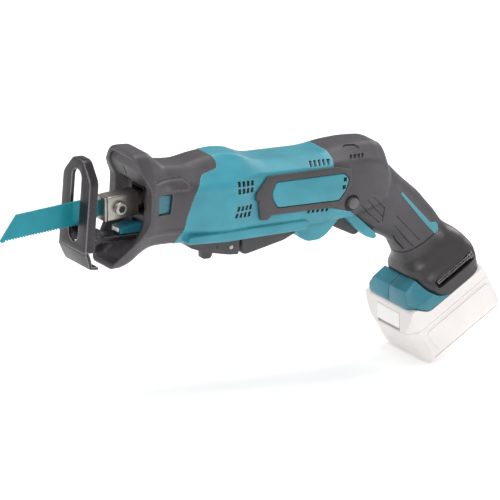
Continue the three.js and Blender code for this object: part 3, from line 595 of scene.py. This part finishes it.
GUARD = [(184, -15), (186.5, -26), (191, -33.2), (198, -36.6), (208.5, -36.2), (216, -31.5),
         (221, -25.5), (226, -20), (232, -15)]


def guard(grow):
    deep = 19 + grow
    block = prism("y", rounded(GUARD, 3), -deep, deep, bevel=3.0, segments=4)
    return moved(block, Matrix.Translation((0, 0, max(0, -grow))))


STRIP = [(229, -13), (233, -13.9), (260.4, -37.0), (262.6, -40.4), (260.2, -42.4),
         (252.4, -39.4), (244.6, -33.2), (230.8, -19.7)]


def strip():
    """The housing's edge that follows the front of the handle down behind the trigger."""
    return prism("y", rounded(STRIP, 1.5), -15.5, 15.5, bevel=3.0, segments=4)


def foot_point(a, w):
    return (335.9 + a * math.cos(FOOT_TILT) - w * math.sin(FOOT_TILT),
            -122.2 + a * math.sin(FOOT_TILT) + w * math.cos(FOOT_TILT))


BOOT_EDGE = [(78, -60), (79, -23), (83, -3), (89, 16), (97, 27), (112, 30), (114, 34),
             (108, 42), (104, 60)]
GRIP_EDGE = [(211, 60), (214, 28), (211, 25), (210, -8), (222, -11.5), (231, -14), (246, -27),
             (259, -38), (262.5, -46)]


def eased(points, radius=4.0):
    """An open line with its corners rounded."""
    closed = rounded(points, radius, 6)
    return [points[0]] + closed[7:-7] + [points[-1]]


def boot_zone(shift=0.0):
    line = [(x + shift, z) for x, z in eased(BOOT_EDGE)]
    return prism("y", [(20, -60)] + line + [(20, 60)], -60, 60)


def grip_zone(shift=0.0, drop_by=0.0):
    line = [(x - shift, z - drop_by) for x, z in eased(GRIP_EDGE, 3)]
    return prism("y", line + [foot_point(-30, 78.2), foot_point(60, 78.2), (340, 60)], -60, 60)


# ---- openings in the side walls -------------------------------------------------------------


def slot_row(x, z, count, pitch, width, height, lean=0.0):
    """Upright slots through the left wall, leaning by lean per millimetre of height."""
    slots = []
    for i in range(count):
        at, shift = x + i * pitch, lean * height
        corners = [(at, z), (at + width, z), (at + width + shift, z + height),
                   (at + shift, z + height)]
        slots.append(prism("y", rounded(corners, 0.5, 2), -45, -14))
    return slots


def both_sides(slots):
    return slots + [mirrored(slot) for slot in slots]


def housing_vents():
    return both_sides(
        slot_row(125.2, 16.6, 4, 3.9, 2.8, 4.2) + slot_row(125.2, 11.2, 4, 3.9, 2.8, 4.2)
        + slot_row(124.6, -2.0, 4, 3.9, 2.8, 4, 0.15) + slot_row(123.8, -7.4, 4, 3.9, 2.8, 4, 0.15)
        + slot_row(189.6, 24.5, 5, 3.9, 2.8, 3.0, 1.3) + slot_row(189, -10.8, 5, 4.1, 2.4, 3.6, 0.2))


def grip_vents():
    return both_sides(slot_row(227, 26.2, 4, 3.6, 2.5, 2.6, 0.9))


LOCK = (230.5, -7)
LOCK_DISH = (229.3, -7)
LOCK_BORE = 4.7  # radius of the button's bore
DISH_RADIUS = 6.6  # of the recess round the button
SCREWS = [(98, -6), (152, -17), (204, -17), (240, 12)]
TRIGGER_SLOT = [(223.6, -50), (250, -50), (264, -32), (252, -6), (224.6, -6)]


def trigger_room():
    return prism("y", TRIGGER_SLOT, -8.6, 8.6)


def screw_rooms():
    return [rod("y", 2.8, 21.9, 45, x, z, 32) for x, z in SCREWS]


def slider_door():
    """The way through the nose for the blade clamp and its slider."""
    return in_nose(box(40, 72, -9, 9, -11, 11))


def bracket_channel():
    """The way through the nose for the arm that carries the shoe."""
    return box(28, 74.6, -7.3, 7.3, -22.9, -9)


def half(sign):
    edges = sorted((sign * SEAM, sign * 100))
    return box(-100, 500, *edges, -250, 200)


# ---- housing --------------------------------------------------------------------------------


def bulges():
    """The gear housing's shallow round swellings on both sides."""
    made = []
    for sign in (-1, 1):
        bm = bmesh.new()
        bmesh.ops.create_uvsphere(bm, u_segments=48, v_segments=32, radius=1)
        bmesh.ops.scale(bm, vec=(19, 7.5, 19), verts=bm.verts)
        bmesh.ops.translate(bm, vec=(124, sign * 23.6, 4), verts=bm.verts)
        made.append(from_bmesh(bm))
    return made


def ledges():
    """The raised lip along the housing's lower edge, on both sides."""
    side = rounded([(84, -24.6), (86.5, -18.8), (187, -15.8), (191.5, -17.6), (191, -23.4),
                    (120, -25.6)], 2.6)
    left = prism("y", side, -29.0, -14, bevel=1.5, segments=4)
    return [left, mirrored(left)]


def housings():
    shell = joined(barrel(0, cut_back=0.14), handle(0), guard(0), strip(), *bulges(), *ledges())
    cut(shell, grip_zone(0), grip_zone(SKIN_GAP, SKIN_GAP), boot_zone(0), boot_zone(SKIN_GAP))
    joined(shell, barrel(-SKIN, 58), handle(-SKIN), strip())
    keep_in = joined(in_foot(box(-90, 400, -60, 60, 80.5, 400)), box(0, 250, -60, 60, -60, 60))
    common(shell, keep_in)
    cut(shell, joined(barrel(-WALL, 67, 269), handle(-WALL, 76), guard(-WALL)))
    panel_room = prism("y", rounded(grown(PANEL, 0.5), 1.6), -40, -PANEL_Y + 0.35)
    cut(shell, *housing_vents(), *grip_vents(), rod("y", LOCK_BORE, -45, 45, *LOCK),
        trigger_room(), box(141.6, 197, -13.6, 13.6, -40, -15.5), slider_door(),
        bracket_channel(), box(56, 74.6, -7.3, 7.3, -30, -20),
        rod("y", 1.6, -16.6, 16.6, 192, -26.5, 24), mirrored(panel_room), panel_room)
    left = common(copy(shell), half(-1))
    right = cut(common(shell, half(1)), *screw_rooms())
    finish_piece(left, "housing_shell_left", TEAL, "frame", "housing_left", slot="teal")
    finish_piece(right, "housing_shell_right", TEAL, "frame", "housing_right", slot="teal")


# ---- rubber skins ---------------------------------------------------------------------------


def grooved(lines, half_width):
    """Narrow prisms through the left side, one along each stretch of the lines."""
    made = []
    for line in lines:
        for (x0, z0), (x1, z1) in zip(line, line[1:]):
            along = Vector((x1 - x0, z1 - z0)).normalized()
            side = Vector((-along.y, along.x)) * half_width
            a, b = Vector((x0, z0)) - along * 0.3, Vector((x1, z1)) + along * 0.3
            made.append(prism("y", [tuple(a - side), tuple(b - side), tuple(b + side),
                                    tuple(a + side)], -60, -5))
    return made


HUMP_MARK = [(226.5, 33.2), (230.5, 34.2), (238.5, 34.0), (241.5, 31.6), (228.5, 31.2)]


def grip_grooves():
    """Fine grooves on the left side: the chevron lines, the ribs and the hump's mark."""
    lines = [
        [(249.4, -4.9), (263.9, -16.7), (265.1, -28.0)],
        [(243.8, -6.5), (263.8, -23.5)],
        [(238.1, -9.6), (262.6, -29.0)],
        [(277.5, -25.2), (300.0, -46.5)],
        [(277.6, -33.6), (296.0, -52.0)],
        [(279.3, -42.2), (290.5, -54.5)],
    ]
    return [prism("y", rounded(HUMP_MARK, 1.2), -22, -5)] + grooved(lines, 0.5)


def grips():
    body = softened(joined(barrel(0, 196), handle(0)), 0.8, 12)
    common(body, grip_zone(0))
    cut(body, joined(barrel(-SKIN + SKIN_GAP, 190), handle(-SKIN + SKIN_GAP, 76)))
    skin = joined(barrel(-0.9, 196), handle(-0.9, 76))
    marks = cut(joined(*both_sides(grip_grooves())), skin)
    cut(body, marks)
    cut(body, *grip_vents(), rod("y", DISH_RADIUS, -45, -26.4, *LOCK_DISH),
        rod("y", DISH_RADIUS, 26.4, 45, *LOCK_DISH), rod("y", LOCK_BORE, -45, 45, *LOCK),
        trigger_room())
    strip_room = prism("y", rounded(grown(STRIP, SKIN_GAP * 2), 1.5), -15.8, 15.8)
    cut(body, strip_room)
    left = common(copy(body), half(-1))
    right = cut(common(body, half(1)), *screw_rooms())
    finish_piece(left, "grip_skin_left", RUBBER, "frame", "grip_left", slot="rubber")
    finish_piece(right, "grip_skin_right", RUBBER, "frame", "grip_right", slot="rubber")


ACCENT = [(279, -7.4), (281, -6.6), (309.5, -34), (316.5, -35.2), (320.5, -49.5), (307, -37)]


def accents():
    """Teal strips let into the handle's sides, and dark rings that paint shade on the floors of the
    button's recesses.
    """
    strip_part = common(handle(0.35), prism("y", rounded(ACCENT, 0.8, 3), -40, 0))
    cut(strip_part, handle(-1.0, 76))
    finish_pair(strip_part, "accent", TEAL, slot="teal")
    for sign, name in ((-1, "left"), (1, "right")):
        low, high = sorted((sign * 26.2, sign * 26.7))
        # Each dark ring paints the shade on the floor of the recess round the button.
        ring = cut(rod("y", DISH_RADIUS - 0.1, low, high, *LOCK_DISH),
                   rod("y", LOCK_BORE, -45, 45, *LOCK))
        finish_piece(ring, "button_recess_shade_" + name, SHADE_AND_SEAM_BLACK, "frame", slot="black_plastic")


# seen from the side: what is cut away in front of the boot, and the opening in its side wall
RIM = [(0, 70), (39, 70), (39, 42), (41.5, 33), (48.5, 21), (49.5, -4), (44.5, -15),
       (30, -35), (27.5, -41), (27.5, -70), (0, -70)]
WINDOW = [(56.5, 1), (55.5, 17.2), (70, 16.4), (69, 0.6)]
# the deep part of the boot's mouth, seen from the front
MOUTH = [(-13, -6), (-13, 15), (-8, 21), (8, 21), (13, 15), (13, -6), (7, -15.5), (-7, -15.5)]
# x, and how far inside the boot's surface its mouth stands there
FUNNEL = [(20, -3.0), (38, -3.4), (44, -5.2), (49, -8.6), (53, -12.0), (56, -14.5)]


def boot():
    funnel = loft([barrel_ring([x] + through(BARREL, max(x, 26.5))[1:], grow, 7)
                   for x, grow in FUNNEL])
    body = joined(barrel(0, 26.5, 124), *boot_tabs())
    cut(body, prism("y", rounded(RIM, 3), -60, 60), funnel, prism("x", rounded(MOUTH, 2), 20, 54.7))
    face = prism("y", [(41.8, 60), (43.6, 34), (50.2, 22), (60, 22), (60, 60)], -60, 60)
    joined(body, common(barrel(-1.5, 30, 124), face))
    softened(body, 0.6, 3)
    cut(body, prism("y", [(38, 25.5), (49.5, 25.5), (46.5, 33), (38, 33)], 5.5, 7.0))
    outline = [(52, 27.1), (80.7, 26.7), (83.2, 24.6), (83.9, 18.0)]
    cut(body, cut(joined(*both_sides(grooved([outline], 0.35))), barrel(-0.6, 26.5, 124)))
    common(body, boot_zone(0))
    cut(body, barrel(-SKIN + SKIN_GAP, 58, 200), prism("y", rounded(WINDOW, 1.4), -50, -19),
        prism("y", rounded(WINDOW, 1.4), 19, 50),
        bracket_channel(), slider_door())
    finish_piece(body, "nose_boot", BOOT_RUBBER, "frame", "front_boot", slot="rubber")


def boot_tabs():
    """The raised strips moulded on the boot's sides."""
    upper = rounded([(50, 19.4), (52, 26.6), (80.5, 26.2), (83, 24), (83.4, 18.4)], 2)
    lower = [(49, -15.6), (49, -12.4), (80.5, -12.4), (79.8, -15.6)]
    return [common(barrel(grow, 40, 124), prism("y", outline, -60, 60))
            for outline, grow in ((upper, 1.3), (lower, 1.0))]


VENT_SHADE_DEPTH = 0.9  # how far the dark sheets that paint shade in the vents lie under the surface


def linings():
    """Pieces that paint shade in the openings: dark sheets in the vents, a dark frame round the
    window and a shaded teal pane behind it, and a dark lining in the door.
    """
    inward = (VENT_SHADE_DEPTH, -VENT_SHADE_DEPTH)
    outer = joined(barrel(-VENT_SHADE_DEPTH), *[moved(made, Matrix.Translation((0, by, 0)))
                                            for made, by in zip(bulges(), inward)])
    vents = housing_vents()
    drop(*vents[len(vents) // 2:])
    slots = common(joined(*vents[:len(vents) // 2]), outer)
    # Dark sheets just under the vents' openings paint the shade inside them.
    shade_sheet = cut(slots, barrel(-WALL, 40))
    finish_pair(shade_sheet, "vent_shade_sheet", SHADE_AND_SEAM_BLACK, slot="black_plastic")
    # A dark frame round each window paints the shade in the recess's border.
    edge = cut(prism("y", rounded(grown(WINDOW, -0.1), 1.4), -26.1, -24.7),
               prism("y", rounded(grown(WINDOW, -0.9), 1.0), -50, 0))
    finish_pair(edge, "window_shade_frame", SHADE_AND_SEAM_BLACK, slot="black_plastic")
    # The teal behind each window takes the darker teal: painted shade.
    pane = common(barrel(-1.5, 50, 80), prism("y", rounded(grown(WINDOW, -0.9), 1.0), -50, -23))
    cut(pane, barrel(-SKIN, 58))
    finish_pair(pane, "window_pane", SHADED_TEAL, slot="teal")
    # A dark lining in the slider's door paints the shade inside the nose.
    door = cut(box(56, 71.8, -8.9, 8.9, -10.9, 10.9), box(50, 80, -8.4, 8.4, -10.3, 10.3))
    finish_piece(in_nose(door), "door_shade_lining", SHADE_AND_SEAM_BLACK, "frame", slot="black_plastic")


# ---- side panels ----------------------------------------------------------------------------

PANEL = [(145, 14), (151.5, 23), (212, 23.6), (226, 21), (227, 8), (221, -2), (214, -8),
         (156.5, -8), (153, -11.5), (146.5, -11), (144, 3), (141.5, 5), (141.5, 10)]
INLAY = [(155.5, 10), (159, 17.5), (219, 18.2), (224, 13.5), (221.5, 4.5), (216, -2.6),
         (161.5, -2.6), (157, 3.5)]


def grown(points, by):
    xs, zs = [p[0] for p in points], [p[1] for p in points]
    cx, cz = (min(xs) + max(xs)) / 2, (min(zs) + max(zs)) / 2
    wide, tall = max(xs) - min(xs), max(zs) - min(zs)
    return [(cx + (x - cx) * (1 + 2 * by / wide), cz + (z - cz) * (1 + 2 * by / tall))
            for x, z in points]


def panels():
    plate = prism("y", rounded(PANEL, 1.2), -PANEL_Y - 2.0, -PANEL_Y, bevel=0.7, segments=3)
    cut(plate, prism("y", rounded(grown(INLAY, 0.45), 1.6), -40, 0),
        rod("y", 1.5, -40, -PANEL_Y - 1.2, 143.2, 4.2, 24))
    badge = prism("y", rounded(grown(INLAY, -0.1), 1.6), -PANEL_Y - 2.3, -PANEL_Y, bevel=0.9,
                  segments=3)
    cut(badge, box(218.6, 221.8, -40, 40, 11.8, 15.2), box(218, 221.2, -40, 40, 5.8, 9.2))
    finish_pair(plate, "panel_plate", DARK, "panel", slot="rubber")
    finish_pair(badge, "inlay_plate", TEAL, "inlay", slot="teal")


# ---- nose and shoe --------------------------------------------------------------------------


def nose():
    block = prism("y", [(38, -17.6), (66.5, -17.6), (66.5, -10.4), (50, -10.8), (38, -13.0)],
                  -6.6, 6.6, bevel=0.8)
    cut(block, box(30, 41, -4.3, 4.3, -16.6, -13.2))
    # The nose guide takes the darker copy of the teal: painted shade under the clamp.
    finish_piece(edge_bevel(block, 0.3), "nose_guide", SHADED_TEAL, "frame", "nose_block", slot="teal")
    lens = box(37.2, 40.8, -4, 4, -16.4, -13.4, bevel=0.5, segments=3)
    finish_piece(lens, "lamp_window", LENS, "frame", "lamp_lens", slot="lens")


SHOE_FACE = [(-19.2, -26), (-19.2, 30), (-7, 44.5), (7, 44.5), (19.2, 30), (19.2, -26)]


def shoe():
    outer = prism("x", rounded(SHOE_FACE, 3.5, 5), 0, 8, bevel=1.0, segments=3)
    inner = [(y - math.copysign(2.2, y), z - 2.6 if z > 35 else z - 1.1 if z > 0 else z - 30)
             for y, z in SHOE_FACE]
    cut(outer, prism("x", rounded(inner, 4, 5), 3, 20))
    slot = [(6.8 * math.cos(a), -13.5 + 6.8 * math.sin(a))
            for a in (math.pi + math.pi * i / 16 for i in range(17))]
    slot += [(6.8 * math.cos(a), 29.5 + 6.8 * math.sin(a))
             for a in (math.pi * i / 16 for i in range(17))]
    cut(outer, prism("x", slot, -5, 20))
    toe = prism("y", rounded([(0.4, -24), (0.4, -27), (6, -38.8), (14, -39.8), (14, -37.4),
                              (8, -36.8), (3, -25)], 0.9, 3), -19.2, 19.2)
    side = rounded([(-19.2, -20), (-19.2, -32), (-14, -45), (14, -45), (19.2, -32),
                    (19.2, -20)], 4, 4)
    common(toe, prism("x", side, -5, 30))
    ear = prism("y", rounded([(2.5, -23), (12, -22.5), (17.5, -21), (18.5, -13), (16, -9.5),
                              (2.5, -7.5)], 1.5), -11, -8.4, bevel=0.4)
    joined(outer, toe, ear, mirrored(ear))
    cut(outer, rod("y", 2.06, -20, 20, 14, -16.5, 32))
    finish_piece(edge_bevel(outer, 0.45, 3), "shoe_plate", SHOE_STEEL, "shoe", "shoe",
                 slot="dark_steel")
    pin = rod("y", 2, -12, 12, 14, -16.5, 40, bevel=0.5)
    finish_piece(pin, "shoe_pin", SHOE_STEEL, "frame", "shoe_pivot_pin", slot="steel")
    arm = prism("y", rounded([(11, -20), (18, -22.5), (74, -22.5), (74, -18.2), (24, -18.2),
                              (19, -12.5), (11, -12.5)], 1), -7, 7, bevel=0.5)
    cut(arm, rod("y", 2, -20, 20, 14, -16.5, 32))
    finish_piece(arm, "shoe_bracket", SHOE_STEEL, "frame", "shoe_arm", slot="dark_steel")


# ---- blade, clamp and slider, drawn along the blade's own line ------------------------------


def blade():
    edge = [(44, -6), (44, 6), (21, 6), (19, 9.6), (-51, 9.6), (-66, -9.2), (-63, -10.4)]
    x = -61.0
    while x < 10:
        edge += [(x, -10.0), (x + 0.5, -8.6)]
        x += 2.54
    made = prism("y", edge + [(15, -8.6), (21, -6)], -0.5, 0.5, bevel=0.12, segments=1)
    finish_piece(in_nose(made), "saw_blade", BLADE_PAINT, "slider", "blade", slot="blade_paint")


def clamp():
    room = box(10, 44.4, -0.62, 0.62, -6.4, 6.4)
    block = cut(box(24.6, 52, -8, 5, -9.4, 9.6, bevel=1.1, segments=4), copy(room),
                rod("y", 3.06, -30, 3.5, 34.5, 0))
    finish_piece(in_nose(block), "clamp_block", STEEL, "slider", "blade_clamp", slot="steel")
    plate = cut(box(22, 24.4, -8, 5, -9.4, 9.6, bevel=0.7, segments=3), room)
    finish_piece(in_nose(plate), "clamp_plate", STEEL, "slider", "clamp_front_plate", slot="steel")
    head = rod("y", 5.2, -12.6, -8.1, 34.5, 0, 64, bevel=1.0, segments=4)
    joined(head, rod("y", 3, -9, -0.7, 34.5, 0))
    cut(head, rod("y", 3.0, -20, -9.2, 34.5, 0, 6))
    finish_piece(in_nose(head), "socket_bolt", STEEL, "clamp_bolt", "clamp_bolt", slot="steel")
    floor_plug = rod("y", 2.95, -10.2, -9.1, 34.5, 0, 6)
    finish_piece(in_nose(floor_plug), "socket_floor", BLACK, "clamp_bolt", slot="steel")


# ---- trigger, lock-off button, paddle -------------------------------------------------------


def controls():
    pull = prism("y", rounded([(226.5, -20), (225.6, -28.5), (228, -31.5), (247, -40.2),
                               (251, -38.8), (256, -29), (248, -16.6), (228, -16.4)], 2.5),
                 -8, 8, bevel=1.4, segments=4)
    finish_piece(pull, "trigger_lever", DARK, "trigger", "trigger", slot="rubber")
    knob = rod("y", 4.5, -30.5, 28, *LOCK, 48, bevel=1.6, segments=5)
    cut(knob, box(224.5, 236.5, -3, 3, -13, -9.5))
    finish_piece(knob, "lock_button", KNOB, "lock_button", "lock_off_button", slot="rubber")
    bracket = prism("y", rounded([(86.5, -24), (141, -24), (141, -42.4), (132, -41.8), (111, -37.8),
                                  (98, -33.4)], 2), -12.6, 12.6, bevel=1.2, segments=3)
    cut(bracket, barrel(0.25, 67, 215), box(104, 128, -3.6, 3.6, -60, -27.5),
        rod("y", 2, -20, 20, 134, -36, 32), rod("y", 1.5, -20, 20, 120.5, -34, 32))
    rivet = rod("y", 1.95, -12.9, 12.9, 134, -36, 40, bevel=0.7, segments=3)
    finish_piece(rivet, "mount_rivet", STEEL, "frame", slot="steel")
    finish_piece(bracket, "paddle_mount", DARK, "frame", "paddle_bracket", slot="dark_plastic")
    pin = rod("y", 1.5, -12.4, 12.4, 120.5, -34, 32, bevel=0.3)
    finish_piece(pin, "latch_axle", SHOE_STEEL, "frame", "latch_pin", slot="steel")
    tab = prism("y", rounded([(115, -46.4), (122.5, -46.6), (124, -43), (124.4, -36),
                              (124.6, -32), (120, -30.4), (113.5, -33)], 2.2),
                -3.2, 3.2, bevel=0.8, segments=3)
    cut(tab, rod("y", 1.56, -20, 20, 120.5, -34, 32))
    finish_piece(tab, "latch_tab", DARK, "latch", "paddle_latch", slot="dark_plastic")
    lever = prism("y", rounded([(142.6, -25.8), (188, -24.5), (193.5, -23.6), (195.2, -26.5),
                                (194.2, -29.3), (181, -35.6), (148, -43.2), (143.8, -42.2)], 2),
                  -13, 13, bevel=1.6, segments=4)
    cut(lever, rod("y", 1.56, -20, 20, 192, -26.5, 32))
    finish_piece(lever, "paddle_lever", DARK, "paddle", "paddle", slot="dark_plastic")


# ---- foot and adapter -----------------------------------------------------------------------

# seen from the side, along and above the battery: what the adapter takes away from the foot
ADAPTER_EDGE = [(-60, 62), (-8.2, 62), (-6, 50), (-1, 42), (10.6, 35), (-60, 35)]
KEY_FROM, KEY_TO, KEY_UP = 4, 40, 49.4  # the hex key's ends and height
ADAPTER_SEAM = 0.55  # half the gap between the adapter's halves


def foot():
    body = ovals(FOOT_RINGS, 0, 36.8, 78.0, pitch=1.2)
    cut(body, ovals(FOOT_RINGS, -3, 36.8, 78.0, stretch=(-5, 5)))
    cut(body, prism("y", rounded(ADAPTER_EDGE, 2), -60, 60))
    right = copy(body)
    cut(body, prism("y", rounded([(KEY_FROM - 2, KEY_UP - 3.2), (KEY_TO + 2, KEY_UP - 3.2),
                                  (KEY_TO + 2, KEY_UP + 3.2), (KEY_FROM - 2, KEY_UP + 3.2)], 1.5),
                    -40, -27.4))
    wall = common(box(KEY_FROM - 4, KEY_TO + 4, -27.3, -24.5, KEY_UP - 6, KEY_UP + 6),
                  ovals(FOOT_RINGS, 0, 36.8, 78.0))
    joined(body, wall)
    for made, sign, name in ((body, -1, "left"), (right, 1, "right")):
        common(made, half(sign))
        finish_piece(in_foot(made), "foot_shell_" + name, BLACK, "frame", "foot_" + name,
                     slot="black_plastic")
    key = joined(rod("x", 2, KEY_FROM, KEY_TO, -29.6, KEY_UP + 0.6, 6, bevel=0.3),
                 rod("z", 2, KEY_UP - 1.2, KEY_UP + 3, KEY_TO - 2, -29.6, 6, bevel=0.2))
    finish_piece(in_foot(key), "hex_key_rod", SHOE_STEEL, "hex_key", "hex_key", slot="dark_steel")


def adapter():
    plan = [(-26.5, -25.5), (-20.5, -BATTERY_HALF), (24, -BATTERY_HALF), (24, BATTERY_HALF),
            (-20.5, BATTERY_HALF), (-26.5, 25.5)]
    side = [(-26.5, 46), (-26, 48.5), (-20, 57.2), (-8.5, 58.6), (-3, 59), (-3, 46), (24, 46),
            (24, 37.2), (-13.6, 37.2), (-22.2, 46)]
    front = [(-33, 30), (-33, 46), (-27, 52), (-20, 60), (20, 60), (27, 52), (33, 46), (33, 30)]
    body = common(prism("z", rounded(plan, 2.5), 30, 70), prism("y", side, -60, 60),
                  prism("x", front, -60, 60))
    cut(body, box(KEY_FROM - 4.3, KEY_TO + 4.3, -40, -24.2, KEY_UP - 6.3, KEY_UP + 6.3))
    room = prism("y", [(a - 0.3, w - 0.3) for a, w in rounded(ADAPTER_EDGE, 2)], -60, 60)
    common(body, joined(ovals(FOOT_RINGS, -3.3, 36.8, 78.0, stretch=(-5, 5)), room))
    cut(body, rod("z", 4.6, 48, 70, -15.6, 31.4, 40), rod("z", 2.4, 42, 52, -25.6, 29.0, 32))
    joined(body, box(-14, 38, -17, 17, 28.6, 33), box(-14, 38, -13.6, 13.6, 32.9, 40))
    cut(body, box(-8, 30, -9, 9, 20, 42))
    seam = common(prism("y", grown(side, -0.6), 0.02 - ADAPTER_SEAM, ADAPTER_SEAM - 0.02),
                  copy(body))
    finish_piece(in_foot(seam), "adapter_seam", SHADE_AND_SEAM_BLACK, "frame", slot="black_plastic")
    for sign, name in ((-1, "left"), (1, "right")):
        made = common(copy(body), box(-60, 60, *sorted((sign * ADAPTER_SEAM, sign * 60)), 20, 80))
        edge_bevel(made, 0.45)
        finish_piece(in_foot(made), "adapter_shell_" + name, ADAPTER_TEAL, "frame", "adapter_" + name,
                     slot="teal")
    drop(body)


# ---- battery --------------------------------------------------------------------------------


def pack_plan(inset):
    h = BATTERY_HALF - inset
    return [(-36.6 + inset, -23.5), (-29 + inset, -h), (39 - inset, -h), (43 - inset, -29 + inset),
            (43 - inset, 29 - inset), (39 - inset, h), (-29 + inset, h), (-36.6 + inset, 23.5)]


PACK_LOW = -3.3  # the underside
PACK_SPLIT = 27.85  # between the pack's top and its tub
PACK_SIDE = [(-31, PACK_LOW), (35.5, PACK_LOW), (39, 1), (43, 28), (43, 36.4), (-14.2, 36.4),
             (-22.8, 45.2), (-27.3, 45.2), (-36.6, 29), (-36.6, 10), (-34.6, 1)]
PACK_ROOM = [(-32.2, -2), (36.2, -2), (38.3, 9.5), (40.4, 25), (-34, 25)]
PACK_END = [(-28, PACK_LOW), (28, PACK_LOW), (33, 3), (33, 60), (-33, 60), (-33, 3)]


def battery():
    outer = common(prism("z", rounded(pack_plan(0), 5, 6), PACK_LOW, 50),
                   prism("y", rounded(PACK_SIDE, 4, 6), -60, 60),
                   prism("x", rounded(PACK_END, 7, 8), -60, 60))
    upper = common(copy(outer), box(-60, 60, -60, 60, PACK_SPLIT + 0.1, 60))
    cut(upper, box(-14.6, 60, -17.4, 17.4, 28.2, 33.4), box(-14.6, 60, -14, 14, 33.3, 50),
        box(-60, -22.6, -15.4, 15.4, 27.6, 41.6))
    finish_piece(in_foot(upper), "battery_top", SHELL, "battery", "battery_cover",
                 slot="battery_shell")
    lower = common(outer, box(-60, 60, -60, 60, PACK_LOW, PACK_SPLIT - 0.1))
    panel = rounded([(-24, 0.5), (35, 0.5), (38, 4), (40.5, 25.2), (-27, 25.2)], 3)
    inner = rounded([(-22, 2.8), (34, 2.8), (36, 6), (38, 23), (-24.6, 23)], 3)
    for low, high in ((-40, -32.5), (32.5, 40)):
        frame_line = cut(prism("y", panel, low, high), prism("y", inner, -50, 50))
        cut(lower, frame_line)
    room = common(prism("z", pack_plan(2.4), -0.8, 24.2), prism("y", PACK_ROOM, -60, 60))
    cut(lower, room, prism("z", pack_plan(5), 20, 40))
    finish_piece(in_foot(lower), "battery_tub", SHELL, "battery", "battery_case",
                 slot="battery_shell")
    button = prism("y", rounded([(-36.2, 31), (-30.2, 41.4), (-24.4, 41.4), (-24.4, 31)], 1),
                   -15, 15, bevel=1.2, segments=3)
    finish_piece(in_foot(button), "release_button", RELEASE, "battery_button", "battery_button",
                 slot="battery_release")


# ---- carried-over CAD nodes -----------------------------------------------------------------

NODE_LOOKS = {
    "steel": (STEEL, ["slider_shaft", "slider_yoke", "crank_gear", "crank_pin", "gear_spindle",
                      "rotor_shaft", "pinion", "paddle_pin", "housing_screw_1",
                      "housing_screw_2", "housing_screw_3", "housing_screw_4"]),
    "bronze": (BRONZE, ["slider_bush", "front_bearing"]),
    "cast": (CAST, ["gear_case", "gear_cover"]),
    "dark": (SHOE_STEEL, ["motor_can", "rotor_core"]),
    "copper": (COPPER, ["commutator"]),
    "black": (BLACK, ["cooling_fan", "end_bell", "switch_module", "terminal_block"]),
    "carbon": (CARBON, ["brush_left", "brush_right"]),
    "wrap": (WRAP, ["battery_cell_1", "battery_cell_2", "battery_cell_3"]),
}


def carried_nodes():
    for look, names in NODE_LOOKS.values():
        for name in names:
            node = NODES[name]
            if not node.data.materials:
                node.data.materials.append(None)
            for slot in node.material_slots:
                slot.link = "OBJECT"
                slot.material = look


# ---- camera, floor and light ----------------------------------------------------------------

# the camera's own axes, and the point in the row frame that it looks at, in metres
RIGHT = Vector((0.8432, -0.5335, 0.0667))
UP = Vector((0.1038, 0.2831, 0.9535))
BACK = Vector((-0.5276, -0.7971, 0.2941))
AIM = Vector((0, 0, 0.023)) + RIGHT * 0.1308 - UP * 0.0263 - BACK * 0.10
VIEW_WIDTH = 0.376
LENS_MM = 1200.0
SENSOR_MM = 36.0


def camera():
    data = bpy.data.cameras.new("camera")
    data.lens = LENS_MM
    data.sensor_width = SENSOR_MM
    data.clip_end = 50
    made = bpy.data.objects.new("camera", data)
    bpy.context.scene.collection.objects.link(made)
    turn = Matrix((RIGHT, UP, BACK)).transposed().to_4x4()
    made.matrix_world = Matrix.Translation(AIM + BACK * VIEW_WIDTH * LENS_MM / SENSOR_MM) @ turn
    bpy.context.scene.camera = made


def floor():
    low = CAD_BOX[0].z
    bm = bmesh.new()
    bmesh.ops.create_grid(bm, x_segments=4, y_segments=4, size=6)
    bmesh.ops.translate(bm, vec=(0, 0, low - 0.0005), verts=bm.verts)
    made = from_bmesh(bm, "floor")
    paint = Shader("floor_paint")
    paint.link(paint.mixed(paint.noise(0.8, 1), (0.93, 0.93, 0.93), (0.95, 0.95, 0.95)),
               paint.surface.inputs["Base Color"])
    paint.set(Roughness=0.9, Specular_IOR_Level=0.1, Emission_Color=(1, 1, 1, 1),
              Emission_Strength=0.22)
    made.data.materials.append(paint.material)


def area_light(name, place, aim, size, power):
    data = bpy.data.lights.new(name, "AREA")
    data.shape = "RECTANGLE"
    data.size, data.size_y = size
    data.energy = power
    made = bpy.data.objects.new(name, data)
    bpy.context.scene.collection.objects.link(made)
    made.location = place
    made.rotation_euler = (Vector(aim) - Vector(place)).to_track_quat("-Z", "Y").to_euler()


def lights():
    world = bpy.data.worlds.new("studio")
    bpy.context.scene.world = world
    world.use_nodes = True
    world.node_tree.nodes["Background"].inputs["Color"].default_value = (1, 1, 1, 1)
    world.node_tree.nodes["Background"].inputs["Strength"].default_value = 0.40
    middle = (0.17, 0, 0)
    area_light("key", (-0.9, -1.1, 1.2), middle, (0.6, 0.6), 13)
    area_light("top", (0.2, 0.3, 2.0), middle, (1.6, 1.2), 28)
    area_light("side", (1.3, -0.75, 0.25), middle, (0.35, 0.6), 3.5)
    area_light("rim", (1.3, 0.5, 0.8), middle, (0.5, 0.8), 5)
    view = bpy.context.scene.view_settings
    view.view_transform = "Standard"
    view.look = "None"


# ---- everything -----------------------------------------------------------------------------

housings()
grips()
accents()
boot()
linings()
panels()
nose()
shoe()
blade()
clamp()
controls()
foot()
adapter()
battery()
carried_nodes()
camera()
floor()
lights()
